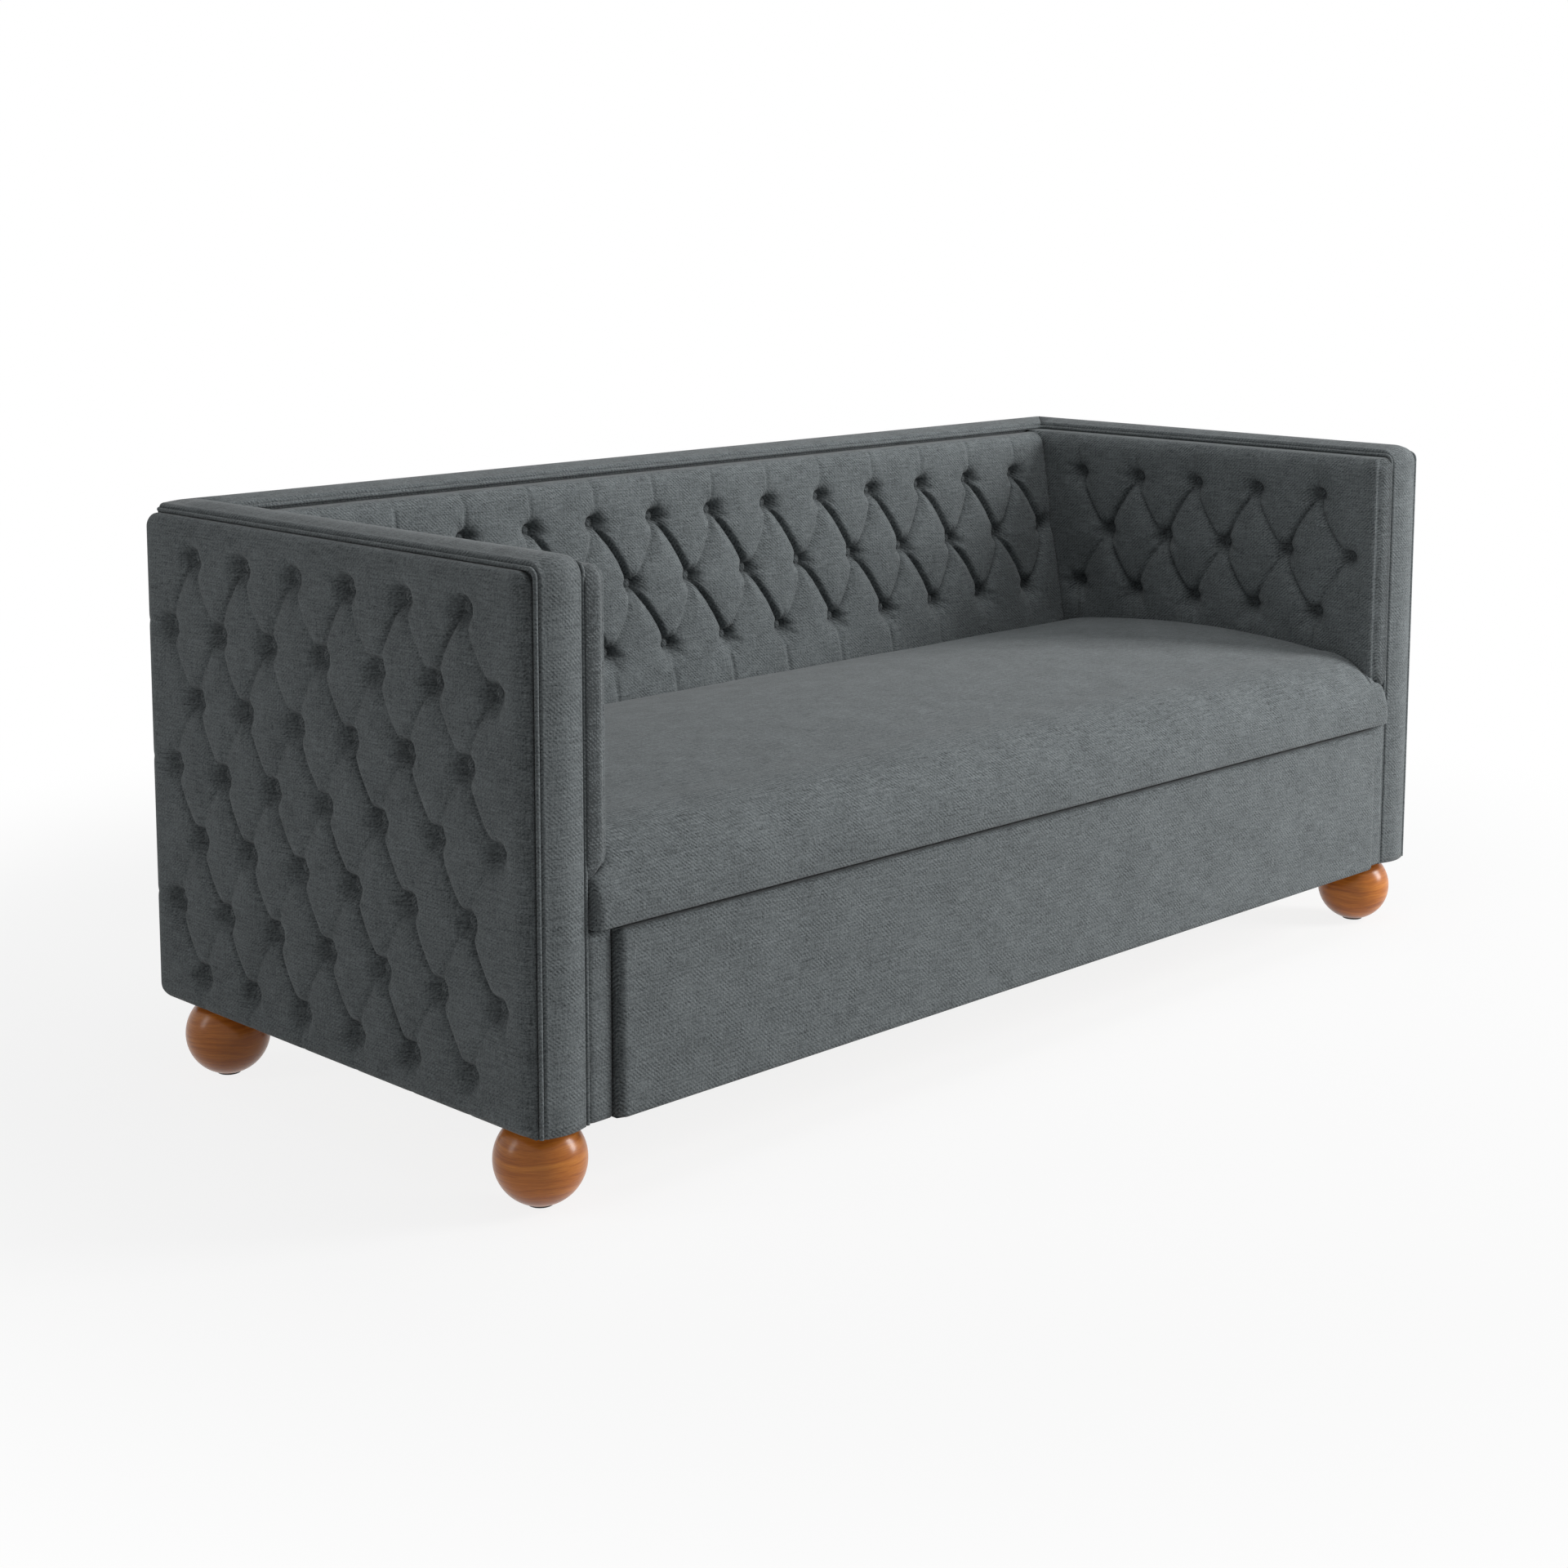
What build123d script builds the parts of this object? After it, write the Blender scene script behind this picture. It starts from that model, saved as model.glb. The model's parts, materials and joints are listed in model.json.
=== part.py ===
import math
import os

from build123d import *

os.makedirs("parts", exist_ok=True)

# Tufted daybed with a castored pull-out, sizes in millimetres.
# X runs along the seat, Y from front to back, Z up from the floor.

# Overall sizes
body_length = 2010.0
overall_depth = 892.0
overall_height = 860.0
floor_clearance = 117.0

# Boxed arms and back
wall_width = 70.0
board_thickness = 5.0
band_thickness = 22.0
band_edge_radius = 9.0
band_corner_radius = 30.0
arm_setback = 11.0
rear_cover_thickness = 16.0
rear_cover_radius = 7.0
post_depth = 50.0
rail_height = 50.0
sole_thickness = 30.0
stud_spacing = 580.0

# Upholstery
cloth_gap = 0.3
welt_radius = 4.0
pad_drop = 16.0
pad_setback = 11.0
end_pad_thickness = 21.0
end_pad_radius = 9.0
arm_pad_thickness = 45.0
arm_pad_top_radius = 24.0
arm_pad_foot_radius = 36.0
back_pad_top = 41.0
back_pad_foot = 112.0
pad_foot_height = 434.0

# Diamond tufting: counts, margins to the outermost buttons, pleats and pockets
end_rows = 7
end_columns = 7
end_margin_top = 57.0
end_margin_bottom = 56.0
end_margin_front = 66.5
end_margin_rear = 62.0
inner_rows = 3
inner_margin_top = 69.0
inner_margin_foot = 129.0
arm_columns = 5
arm_margin_front = 55.5
arm_margin_rear = 130.0
back_columns = 14
back_margin = 25.5
end_pleat_depth = 6.0
end_pleat_width = 50.0
inner_pleat_depth = 13.0
inner_pleat_width = 40.0
hem_pleat_depth = 7.0
hem_pleat_width = 18.0
hem_overrun = 14.0
pocket_radius = 23.0
pocket_floor_radius = 11.5
end_pocket_depth = 12.0
inner_pocket_depth = 19.0
button_radius = 10.5
button_top_radius = 6.0
button_height = 9.0

# Seat
seat_deck_height = 374.0
cushion_nose_rise = 24.0
cushion_nose_depth = 118.0
cushion_shoulder_height = 497.0
cushion_crown_height = 512.0
cushion_rear_height = 486.0
cushion_swell = 7.0
cushion_nose_bulge = (0.27, 0.69)
cushion_crown_place = 0.4
slat_thickness = 18.0
slat_width = 70.0
seat_slat_count = 13
seat_rail_height = 48.0
seat_rail_width = 28.0
cleat_width = 25.0
stile_depth = 30.0
stile_width = 44.0
stile_radius = 4.0

# Ball feet
foot_diameter = 125.0
foot_inset_x = 48.0
foot_inset_y = 73.0
glide_radius = 17.0
glide_thickness = 3.0

# Fasteners
bolt_radius = 4.0
bolt_gap = 0.1
bolt_head_radius = 7.0
bolt_head_height = 6.0
foot_bolt_depth = 40.0
tee_nut_radius = 5.6
tee_flange_radius = 11.0
tee_flange_thickness = 2.0
barrel_radius = 5.5
barrel_length = 26.0
corner_bolt_margin = 130.0
seat_screw_radius = 3.5
seat_screw_count = 3

# Pull-out
front_gap = 4.0
front_pad = 12.0
front_hem = 5.0
front_edge_radius = 7.0
trundle_board = 18.0
trundle_side_inset = 9.0
guide_gap = 0.5
trundle_side_height = 164.0
trundle_rear_gap = 9.0
bearer_width = 64.0
bearer_height = 30.0
trundle_slat_count = 12
mattress_gap = 4.0
mattress_height = 130.0
mattress_crown = 12.0
mattress_corner_radius = 40.0

# Fixed castors
wheel_radius = 37.5
wheel_width = 24.0
wheel_edge_radius = 3.0
wheel_recess = 5.0
rim_thickness = 11.0
hub_radius = 11.0
axle_radius = 4.0
axle_gap = 0.08
axle_head = 2.0
axle_head_radius = 7.0
castor_height = 96.0
castor_plate = 3.0
castor_plate_length = 74.0
castor_plate_width = 58.0
castor_leg = 3.0
castor_leg_gap = 1.5
castor_leg_radius = 12.0
castor_leg_width = 44.0
castor_count = 3
castor_inset = 110.0
castor_front_row = 276.0
castor_rear_row = 90.0

# Levels and planes that follow from the sizes above
front = -overall_depth / 2
rear = overall_depth / 2
arm_front = front + arm_setback
body_rear = rear - rear_cover_thickness
arm_out = body_length / 2
arm_in = arm_out - wall_width
back_in = body_rear - wall_width
timber_out = arm_out - board_thickness
timber_in = arm_in + board_thickness
timber_front = arm_front + band_thickness
timber_top = overall_height - band_thickness
timber_rear = body_rear - board_thickness
back_timber = back_in + board_thickness
sole_top = floor_clearance + sole_thickness
pad_top = overall_height - pad_drop
pad_front = arm_front + pad_setback
pad_in = arm_in - arm_pad_thickness
welt_offset = welt_radius + cloth_gap
welt_height = pad_top + welt_offset
welt_front = pad_front - welt_offset
slat_level = seat_deck_height - slat_thickness
seat_rail_foot = slat_level - seat_rail_height
cushion_side = arm_in - 2 * welt_offset
back_face_top = back_in - back_pad_top
back_face_foot = back_in - back_pad_foot
back_lean = math.atan2(back_face_top - back_face_foot, pad_top - pad_foot_height)
front_top = seat_deck_height - front_gap
stile_in = arm_in - stile_width
front_half = stile_in - front_gap
side_out = front_half - trundle_side_inset
side_in = side_out - trundle_board
stile_front = pad_front + cloth_gap
seat_front = stile_front + stile_depth + cloth_gap
foot_x = arm_out - foot_inset_x
foot_y_front = arm_front + foot_inset_y
foot_y_rear = -foot_y_front
foot_seats = [(x, y) for x in (-foot_x, foot_x) for y in (foot_y_front, foot_y_rear)]


def save(piece, name):
    piece.part.label = name
    export_step(piece.part, "parts/" + name + ".step")


# A block between two opposite corners, for use inside a part
def block(low, high, mode=Mode.ADD):
    center = tuple((a + b) / 2 for a, b in zip(low, high))
    with Locations(center):
        Box(*(abs(b - a) for a, b in zip(low, high)), mode=mode)


# Button lattice: rows of points from the top down, every other row set over by half a pitch
def lattice(counts, pitch, row_pitch, center, top):
    rows = []
    for index, count in enumerate(counts):
        start = center - pitch * (count - 1) / 2
        rows.append([(start + pitch * step, top - row_pitch * index) for step in range(count)])
    return rows


# Pleat lines: each diagonal from its first button to its last
def diagonals(rows, pitch):
    lines = []
    for lean in (-1, 1):
        for index, row in enumerate(rows[:-1]):
            for point in row:
                above = rows[index - 1] if index else []
                if any(abs(other[0] - point[0] + lean * pitch / 2) < 1 for other in above):
                    continue
                last = point
                for lower in rows[index + 1:]:
                    found = [other for other in lower if abs(other[0] - last[0] - lean * pitch / 2) < 1]
                    if not found:
                        break
                    last = found[0]
                if last != point:
                    lines.append((point, last))
    return lines


# One V-shaped pleat laid into a face between two points of that face
def pleat(face, start, end, width, depth):
    origin = face.from_local_coords((start[0], start[1], 0))
    target = face.from_local_coords((end[0], end[1], 0))
    along = target - origin
    across = face.z_dir.cross(along.normalized())
    with BuildPart() as cut:
        with BuildSketch(Plane(origin=origin, x_dir=across, z_dir=along)):
            with BuildLine():
                Polyline(
                    (-width / 2, 0),
                    (0, -depth),
                    (width / 2, 0),
                    (width / 2, depth),
                    (-width / 2, depth),
                    close=True,
                )
            make_face()
        extrude(amount=along.length)
    return cut.part


# Round pockets for the buttons, sunk from a face
def pockets(face, rows, depth):
    with BuildPart(face) as cut:
        with Locations(*[(u, v, -depth / 2) for row in rows for u, v in row]):
            Cone(pocket_floor_radius, pocket_radius, depth)
    return cut.part


# Covered buttons seated on the floors of their pockets
def buttons(face, rows, depth, name):
    with BuildPart(face) as group:
        with Locations(*[(u, v, button_height / 2 - depth) for row in rows for u, v in row]):
            Cone(button_radius, button_top_radius, button_height)
    save(group, name)


# Arm soles: planks under each arm, bored for the feet, with inner edges that guide the pull-out
with BuildPart() as arm_soles:
    for side in (-1, 1):
        block((side * arm_in, timber_front, floor_clearance), (side * timber_out, body_rear, sole_top))
        block(
            (side * (side_out + guide_gap), seat_front, floor_clearance),
            (side * arm_in, back_in, sole_top),
        )
    with Locations(*[(x, y, sole_top) for x, y in foot_seats]):
        CounterBoreHole(
            tee_nut_radius + bolt_gap,
            tee_flange_radius + bolt_gap,
            tee_flange_thickness + bolt_gap,
            sole_thickness,
        )
save(arm_soles, "arm_soles")

# Heights and places of the bolts that draw the frame together
corner_bolt_y = (back_timber + timber_rear) / 2
corner_bolt_levels = (floor_clearance + corner_bolt_margin, timber_top - corner_bolt_margin)
seat_screw_level = seat_rail_foot + seat_rail_height / 2
seat_screw_reach = back_in - timber_front - 2 * post_depth
seat_screw_places = [
    timber_front + 2 * post_depth + seat_screw_reach * (step + 0.5) / seat_screw_count
    for step in range(seat_screw_count)
]
bolt_seat = timber_out - bolt_head_height - bolt_gap
corner_bolt_end = arm_in - post_depth + bolt_gap
barrel_x = arm_in - post_depth / 2

# Arm timbers
for side, hand in ((-1, "left"), (1, "right")):
    with BuildPart() as posts:
        block(
            (side * timber_in, timber_front, sole_top),
            (side * timber_out, timber_front + post_depth, timber_top),
        )
        block((side * timber_in, body_rear - wall_width, sole_top), (side * timber_out, body_rear, timber_top))
        for level in corner_bolt_levels:
            with Locations(Location((side * timber_out, corner_bolt_y, level), (0, side * 90, 0))):
                CounterBoreHole(
                    bolt_radius + bolt_gap,
                    bolt_head_radius + bolt_gap,
                    bolt_head_height + bolt_gap,
                    wall_width,
                )
    save(posts, hand + "_arm_posts")

    with BuildPart() as rails:
        rail_front = timber_front + post_depth
        rail_rear = body_rear - wall_width
        block(
            (side * timber_in, rail_front, timber_top - rail_height),
            (side * timber_out, rail_rear, timber_top),
        )
        block((side * timber_in, rail_front, seat_rail_foot), (side * timber_out, rail_rear, slat_level))
        for place in seat_screw_places:
            with Locations(Location((side * timber_out, place, seat_screw_level), (0, side * 90, 0))):
                CounterBoreHole(
                    seat_screw_radius + bolt_gap,
                    bolt_head_radius + bolt_gap,
                    bolt_head_height + bolt_gap,
                    wall_width,
                )
    save(rails, hand + "_arm_rails")

# Boards that carry the pads of the arms
with BuildPart() as arm_outer_boards:
    for side in (-1, 1):
        block((side * timber_out, timber_front, floor_clearance), (side * arm_out, body_rear, timber_top))
save(arm_outer_boards, "arm_outer_boards")

with BuildPart() as arm_inner_boards:
    for side in (-1, 1):
        block((side * arm_in, timber_front, sole_top), (side * timber_in, body_rear, timber_top))
        for level in corner_bolt_levels:
            with Locations(Location((side * timber_in, corner_bolt_y, level), (0, side * 90, 0))):
                Hole(bolt_radius + bolt_gap, board_thickness)
        for place in seat_screw_places:
            with Locations(Location((side * timber_in, place, seat_screw_level), (0, side * 90, 0))):
                Hole(seat_screw_radius + bolt_gap, board_thickness)
save(arm_inner_boards, "arm_inner_boards")

# Back frame between the arms
post_in = arm_in - post_depth
with BuildPart() as back_posts:
    for side in (-1, 1):
        block((side * post_in, back_timber, floor_clearance), (side * arm_in, timber_rear, timber_top))
        for level in corner_bolt_levels:
            with Locations(Location((side * arm_in, corner_bolt_y, level), (0, side * 90, 0))):
                Hole(bolt_radius + bolt_gap, post_depth)
            with Locations(Location((side * barrel_x, corner_bolt_y, level), (90, 0, 0))):
                Cylinder(barrel_radius + bolt_gap, barrel_length, mode=Mode.SUBTRACT)
        stud = (side * stud_spacing / 2 - post_depth / 2, side * stud_spacing / 2 + post_depth / 2)
        block((stud[0], back_timber, slat_level), (stud[1], timber_rear, timber_top - rail_height))
        block((stud[0], back_timber, floor_clearance + rail_height), (stud[1], timber_rear, seat_rail_foot))
save(back_posts, "back_posts")

with BuildPart() as back_rails:
    for foot, top in (
        (floor_clearance, floor_clearance + rail_height),
        (seat_rail_foot, slat_level),
        (timber_top - rail_height, timber_top),
    ):
        block((-post_in, back_timber, foot), (post_in, timber_rear, top))
save(back_rails, "back_rails")

with BuildPart() as back_inner_board:
    block((-arm_in, back_in, seat_rail_foot), (arm_in, back_timber, timber_top))
save(back_inner_board, "back_inner_board")

with BuildPart() as back_outer_board:
    block((-arm_in, timber_rear, floor_clearance), (arm_in, body_rear, timber_top))
save(back_outer_board, "back_outer_board")

# Seat frame: cleats along the arms, three rails between them, slats on top
with BuildPart() as seat_cleats:
    for side in (-1, 1):
        block((side * (arm_in - cleat_width), seat_front, seat_rail_foot), (side * arm_in, back_in, slat_level))
        for place in seat_screw_places:
            with Locations(Location((side * arm_in, place, seat_screw_level), (0, side * 90, 0))):
                Hole(seat_screw_radius + bolt_gap, cleat_width)
save(seat_cleats, "seat_cleats")

with BuildPart() as seat_rails:
    rail_half = arm_in - cleat_width
    middle = (seat_front + back_in) / 2
    for low in (seat_front, middle - seat_rail_width / 2, back_in - seat_rail_width):
        block((-rail_half, low, seat_rail_foot), (rail_half, low + seat_rail_width, slat_level))
save(seat_rails, "seat_rails")

seat_slat_pitch = 2 * rail_half / seat_slat_count
with BuildPart() as seat_slats:
    slat_length = back_in - seat_front
    with Locations((0, (seat_front + back_in) / 2, slat_level + slat_thickness / 2)):
        with GridLocations(seat_slat_pitch, 1, seat_slat_count, 1):
            Box(slat_width, slat_length, slat_thickness)
save(seat_slats, "seat_slats")

# Seat cushion: crowned from front to back and along the seat, rolled over at the front,
# with ledges under the arm pads and the back pad
cushion_rear = back_in - cloth_gap
ledge = pad_foot_height - cloth_gap
lean = math.tan(back_lean)
ledge_rear = back_face_foot - cloth_gap
top_rear = back_face_foot + lean * (cushion_rear_height - pad_foot_height) - cloth_gap
nose_end = front + cushion_nose_depth
with BuildPart() as seat_cushion:
    for place, swell in ((-cushion_side, 0), (0, cushion_swell), (cushion_side, 0)):
        shoulder = (nose_end, cushion_shoulder_height + swell)
        nose_foot = (front, seat_deck_height + cushion_nose_rise)
        nose_rise = shoulder[1] - nose_foot[1]
        with BuildSketch(Plane.YZ.offset(place)):
            with BuildLine():
                Line((front, seat_deck_height), nose_foot)
                ThreePointArc(
                    nose_foot,
                    (
                        front + cushion_nose_bulge[0] * cushion_nose_depth,
                        nose_foot[1] + cushion_nose_bulge[1] * nose_rise,
                    ),
                    shoulder,
                )
                ThreePointArc(
                    shoulder,
                    (nose_end + cushion_crown_place * (top_rear - nose_end), cushion_crown_height + swell),
                    (top_rear, cushion_rear_height),
                )
                Polyline(
                    (top_rear, cushion_rear_height),
                    (ledge_rear, ledge),
                    (cushion_rear, ledge),
                    (cushion_rear, seat_deck_height),
                    (front, seat_deck_height),
                )
            make_face()
    loft()
    for side in (-1, 1):
        with BuildSketch(Plane.XZ.offset(-cushion_rear)):
            with Locations((side * (pad_in + arm_out) / 2, (ledge + overall_height) / 2)):
                Rectangle(arm_out - pad_in + 2 * cloth_gap, overall_height - ledge)
            fillet(
                vertices().group_by(Axis.Y)[0].sort_by(Axis.X)[-1 if side < 0 else 0],
                arm_pad_foot_radius + cloth_gap,
            )
        extrude(amount=overall_depth, mode=Mode.SUBTRACT)
save(seat_cushion, "seat_cushion")

# Upholstered stiles beside the pull-out front
for side, hand in ((-1, "left"), (1, "right")):
    with BuildPart() as stile:
        block(
            (side * stile_in, stile_front, floor_clearance),
            (side * (arm_in - cloth_gap), stile_front + stile_depth, seat_deck_height - cloth_gap),
        )
        fillet(stile.edges().filter_by(Axis.Z).group_by(Axis.Y)[0], stile_radius)
    save(stile, hand + "_stile")

# Padded bands over the arm tops and arm fronts, mitred into the back band
for side, hand in ((-1, "left"), (1, "right")):
    with BuildPart() as band:
        with BuildSketch(Plane.YZ.offset(side * arm_in)):
            with BuildLine():
                Polyline(
                    (arm_front, floor_clearance),
                    (arm_front, overall_height),
                    (body_rear, overall_height),
                    (body_rear, timber_top),
                    (timber_front, timber_top),
                    (timber_front, floor_clearance),
                    close=True,
                )
            make_face()
            fillet(vertices().group_by(Axis.X)[0].sort_by(Axis.Y)[-1], band_corner_radius)
        extrude(amount=side * wall_width)
        shown = [
            edge
            for edge in band.edges()
            if edge.center().Y < timber_front - 1 or edge.center().Z > timber_top + 1
        ]
        shown = [edge for edge in shown if abs(abs(edge.center().X) - (arm_in + arm_out) / 2) > 1]
        shown = [
            edge
            for edge in shown
            if edge.center().Y < body_rear - 1 and edge.center().Z > floor_clearance + 1
        ]
        fillet(shown, band_edge_radius)
        mitre = Plane(origin=(side * arm_out, body_rear, 0), x_dir=(side, 1, 0), z_dir=(-side, 1, 0))
        split(bisect_by=mitre, keep=Keep.BOTTOM)
    save(band, hand + "_arm_band")

with BuildPart() as back_band:
    block((-arm_out, back_in, timber_top), (arm_out, body_rear, overall_height))
    fillet(back_band.edges().filter_by(Axis.X).group_by(Axis.Z)[-1], band_edge_radius)
    for side in (-1, 1):
        mitre = Plane(origin=(side * arm_out, body_rear, 0), x_dir=(side, 1, 0), z_dir=(-side, 1, 0))
        split(bisect_by=mitre, keep=Keep.TOP)
save(back_band, "back_band")

# Tufted outer pads of the ends
end_rear = rear
end_pitch = (end_rear - pad_front - end_margin_front - end_margin_rear) / (end_columns - 1)
end_row_pitch = (pad_top - floor_clearance - end_margin_top - end_margin_bottom) / (end_rows - 1)
end_center = (pad_front + end_margin_front + end_rear - end_margin_rear) / 2
end_counts = [end_columns - 1 + row % 2 for row in range(end_rows)]
end_top = pad_top - end_margin_top
for side, hand in ((-1, "left"), (1, "right")):
    face = Plane(origin=(side * (arm_out + end_pad_thickness), 0, 0), x_dir=(0, side, 0), z_dir=(side, 0, 0))
    rows = lattice(end_counts, end_pitch, end_row_pitch, side * end_center, end_top)
    pleats = [pleat(face, a, b, end_pleat_width, end_pleat_depth) for a, b in diagonals(rows, end_pitch)]
    with BuildPart() as pad:
        block(
            (side * arm_out, pad_front, floor_clearance),
            (side * (arm_out + end_pad_thickness), end_rear, pad_top),
        )
        fillet(pad.faces().sort_by(Axis.X)[-1 if side > 0 else 0].edges(), end_pad_radius)
        add(pleats, mode=Mode.SUBTRACT)
        add(pockets(face, rows, end_pocket_depth), mode=Mode.SUBTRACT)
    save(pad, hand + "_end_pad")
    buttons(face, rows, end_pocket_depth, hand + "_end_buttons")

# Tufted inner pads of the arms, standing on the ledges of the seat
inner_top_height = pad_top - inner_margin_top
inner_row_pitch = (inner_top_height - pad_foot_height - inner_margin_foot) / (inner_rows - 1)
arm_pitch = (back_in - arm_margin_rear - pad_front - arm_margin_front) / (arm_columns - 0.5)
arm_tuft_center = back_in - arm_margin_rear - arm_pitch * (arm_columns - 1) / 2
arm_counts = [arm_columns] * inner_rows
for side, hand in ((-1, "left"), (1, "right")):
    face = Plane(origin=(side * pad_in, 0, 0), x_dir=(0, -side, 0), z_dir=(-side, 0, 0))
    rows = lattice(arm_counts, arm_pitch, inner_row_pitch, -side * arm_tuft_center, inner_top_height)
    rows[1] = [(u + side * arm_pitch / 2, v) for u, v in rows[1]]
    pleats = [
        pleat(face, a, b, inner_pleat_width, inner_pleat_depth)
        for a, b in diagonals(rows, arm_pitch)
    ]
    hems = [(p, (p[0], pad_top + hem_overrun)) for p in rows[0]]
    hems += [(p, (p[0], pad_foot_height - hem_overrun)) for p in rows[-1]]
    pleats += [pleat(face, a, b, hem_pleat_width, hem_pleat_depth) for a, b in hems]
    with BuildPart() as pad:
        with BuildSketch(Plane.XZ.offset(-back_in + cloth_gap)):
            with Locations((side * (pad_in + arm_in) / 2, (pad_foot_height + pad_top) / 2)):
                Rectangle(arm_pad_thickness, pad_top - pad_foot_height)
            inner = vertices().sort_by(Axis.X)[:2] if side > 0 else vertices().sort_by(Axis.X)[-2:]
            fillet(inner.sort_by(Axis.Y)[0], arm_pad_foot_radius)
            fillet(
                vertices().sort_by(Axis.Y)[-2:].sort_by(Axis.X)[0 if side > 0 else -1],
                arm_pad_top_radius,
            )
        extrude(amount=back_in - cloth_gap - pad_front)
        add(pleats, mode=Mode.SUBTRACT)
        add(pockets(face, rows, inner_pocket_depth), mode=Mode.SUBTRACT)
    save(pad, hand + "_arm_pad")
    buttons(face, rows, inner_pocket_depth, hand + "_arm_buttons")

# Tufted back pad, fuller at its foot than at its top
slope = 1 / math.cos(back_lean)
face = Plane(
    origin=(0, back_face_foot, pad_foot_height),
    x_dir=(1, 0, 0),
    z_dir=(0, -math.cos(back_lean), math.sin(back_lean)),
)
back_pitch = 2 * (pad_in - back_margin) / (back_columns - 1)
back_counts = [back_columns - 1 + row % 2 for row in range(inner_rows)]
rows = lattice(
    back_counts, back_pitch, inner_row_pitch * slope, 0, (inner_top_height - pad_foot_height) * slope
)
face_top = (pad_top - pad_foot_height) * slope
pleats = [pleat(face, a, b, inner_pleat_width, inner_pleat_depth) for a, b in diagonals(rows, back_pitch)]
hems = [(p, (p[0], face_top + hem_overrun)) for p in rows[0]]
hems += [(p, (p[0], -hem_overrun)) for p in rows[-1]]
pleats += [pleat(face, a, b, hem_pleat_width, hem_pleat_depth) for a, b in hems]
with BuildPart() as back_pad:
    with BuildSketch(Plane.YZ.offset(-pad_in + cloth_gap)):
        with BuildLine():
            Polyline(
                (back_in, pad_foot_height),
                (back_in, pad_top),
                (back_face_top, pad_top),
                (back_face_foot, pad_foot_height),
                close=True,
            )
        make_face()
        fillet(vertices().sort_by(Axis.Y)[-2:].sort_by(Axis.X)[0], arm_pad_top_radius)
    extrude(amount=2 * (pad_in - cloth_gap))
    add(pleats, mode=Mode.SUBTRACT)
    add(pockets(face, rows, inner_pocket_depth), mode=Mode.SUBTRACT)
save(back_pad, "back_pad")
buttons(face, rows, inner_pocket_depth, "back_buttons")

# Plain cloth cover over the rear
with BuildPart() as rear_cover:
    block((-arm_out + cloth_gap, body_rear, floor_clearance), (arm_out - cloth_gap, rear, pad_top))
    fillet(rear_cover.faces().sort_by(Axis.Y)[-1].edges(), rear_cover_radius)
save(rear_cover, "rear_cover")

# Piping around the ends and the rear, and around the inside of the arms and back
for name, half, far in (
    ("outer_welt", arm_out + welt_offset, body_rear + welt_offset),
    ("inner_welt", arm_in - welt_offset, back_in - welt_offset),
):
    with BuildPart() as welt:
        with BuildLine() as run:
            FilletPolyline(
                (-half, welt_front, floor_clearance),
                (-half, welt_front, welt_height),
                (-half, far, welt_height),
                (half, far, welt_height),
                (half, welt_front, welt_height),
                (half, welt_front, floor_clearance),
                radius=welt_offset,
            )
        with BuildSketch(Plane(origin=run.line @ 0, z_dir=run.line % 0)):
            Circle(welt_radius)
        sweep()
    save(welt, name)

# Ball feet on glides, each held by a threaded bolt in a tee nut of the sole
foot_radius = foot_diameter / 2
for (x, y), name in zip(
    foot_seats, ("front_left_foot", "rear_left_foot", "front_right_foot", "rear_right_foot")
):
    with BuildPart() as foot:
        with Locations((x, y, foot_radius)):
            Sphere(foot_radius)
        split(bisect_by=Plane.XY.offset(floor_clearance), keep=Keep.BOTTOM)
        split(bisect_by=Plane.XY.offset(glide_thickness), keep=Keep.TOP)
        with Locations((x, y, floor_clearance)):
            Hole(bolt_radius + bolt_gap, foot_bolt_depth + bolt_gap)
    save(foot, name)

with BuildPart() as foot_glides:
    with Locations(*[(x, y, glide_thickness / 2) for x, y in foot_seats]):
        Cylinder(glide_radius, glide_thickness)
save(foot_glides, "foot_glides")

with BuildPart() as foot_bolts:
    bolt_length = foot_bolt_depth + sole_thickness - tee_flange_thickness
    with Locations(*[(x, y, floor_clearance - foot_bolt_depth + bolt_length / 2) for x, y in foot_seats]):
        Cylinder(bolt_radius, bolt_length)
save(foot_bolts, "foot_bolts")

with BuildPart() as tee_nuts:
    with Locations(*[(x, y, sole_top - tee_flange_thickness / 2) for x, y in foot_seats]):
        Cylinder(tee_flange_radius, tee_flange_thickness)
    with Locations(*[(x, y, (floor_clearance + sole_top) / 2) for x, y in foot_seats]):
        Cylinder(tee_nut_radius, sole_thickness)
        Cylinder(bolt_radius + bolt_gap, sole_thickness, mode=Mode.SUBTRACT)
save(tee_nuts, "tee_nuts")

# Bolts from the arms into the back, drawn up by barrel nuts
with BuildPart() as corner_bolts:
    for side in (-1, 1):
        for level in corner_bolt_levels:
            with Locations(Location((side * bolt_seat, corner_bolt_y, level), (0, side * 90, 0))):
                Cylinder(bolt_head_radius, bolt_head_height, align=(Align.CENTER, Align.CENTER, Align.MIN))
                Cylinder(
                    bolt_radius, bolt_seat - corner_bolt_end, align=(Align.CENTER, Align.CENTER, Align.MAX)
                )
save(corner_bolts, "corner_bolts")

with BuildPart() as barrel_nuts:
    for side in (-1, 1):
        for level in corner_bolt_levels:
            with Locations(Location((side * barrel_x, corner_bolt_y, level), (90, 0, 0))):
                Cylinder(barrel_radius, barrel_length)
            with Locations(Location((side * barrel_x, corner_bolt_y, level), (0, 90, 0))):
                Cylinder(bolt_radius + bolt_gap, post_depth, mode=Mode.SUBTRACT)
save(barrel_nuts, "barrel_nuts")

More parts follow.
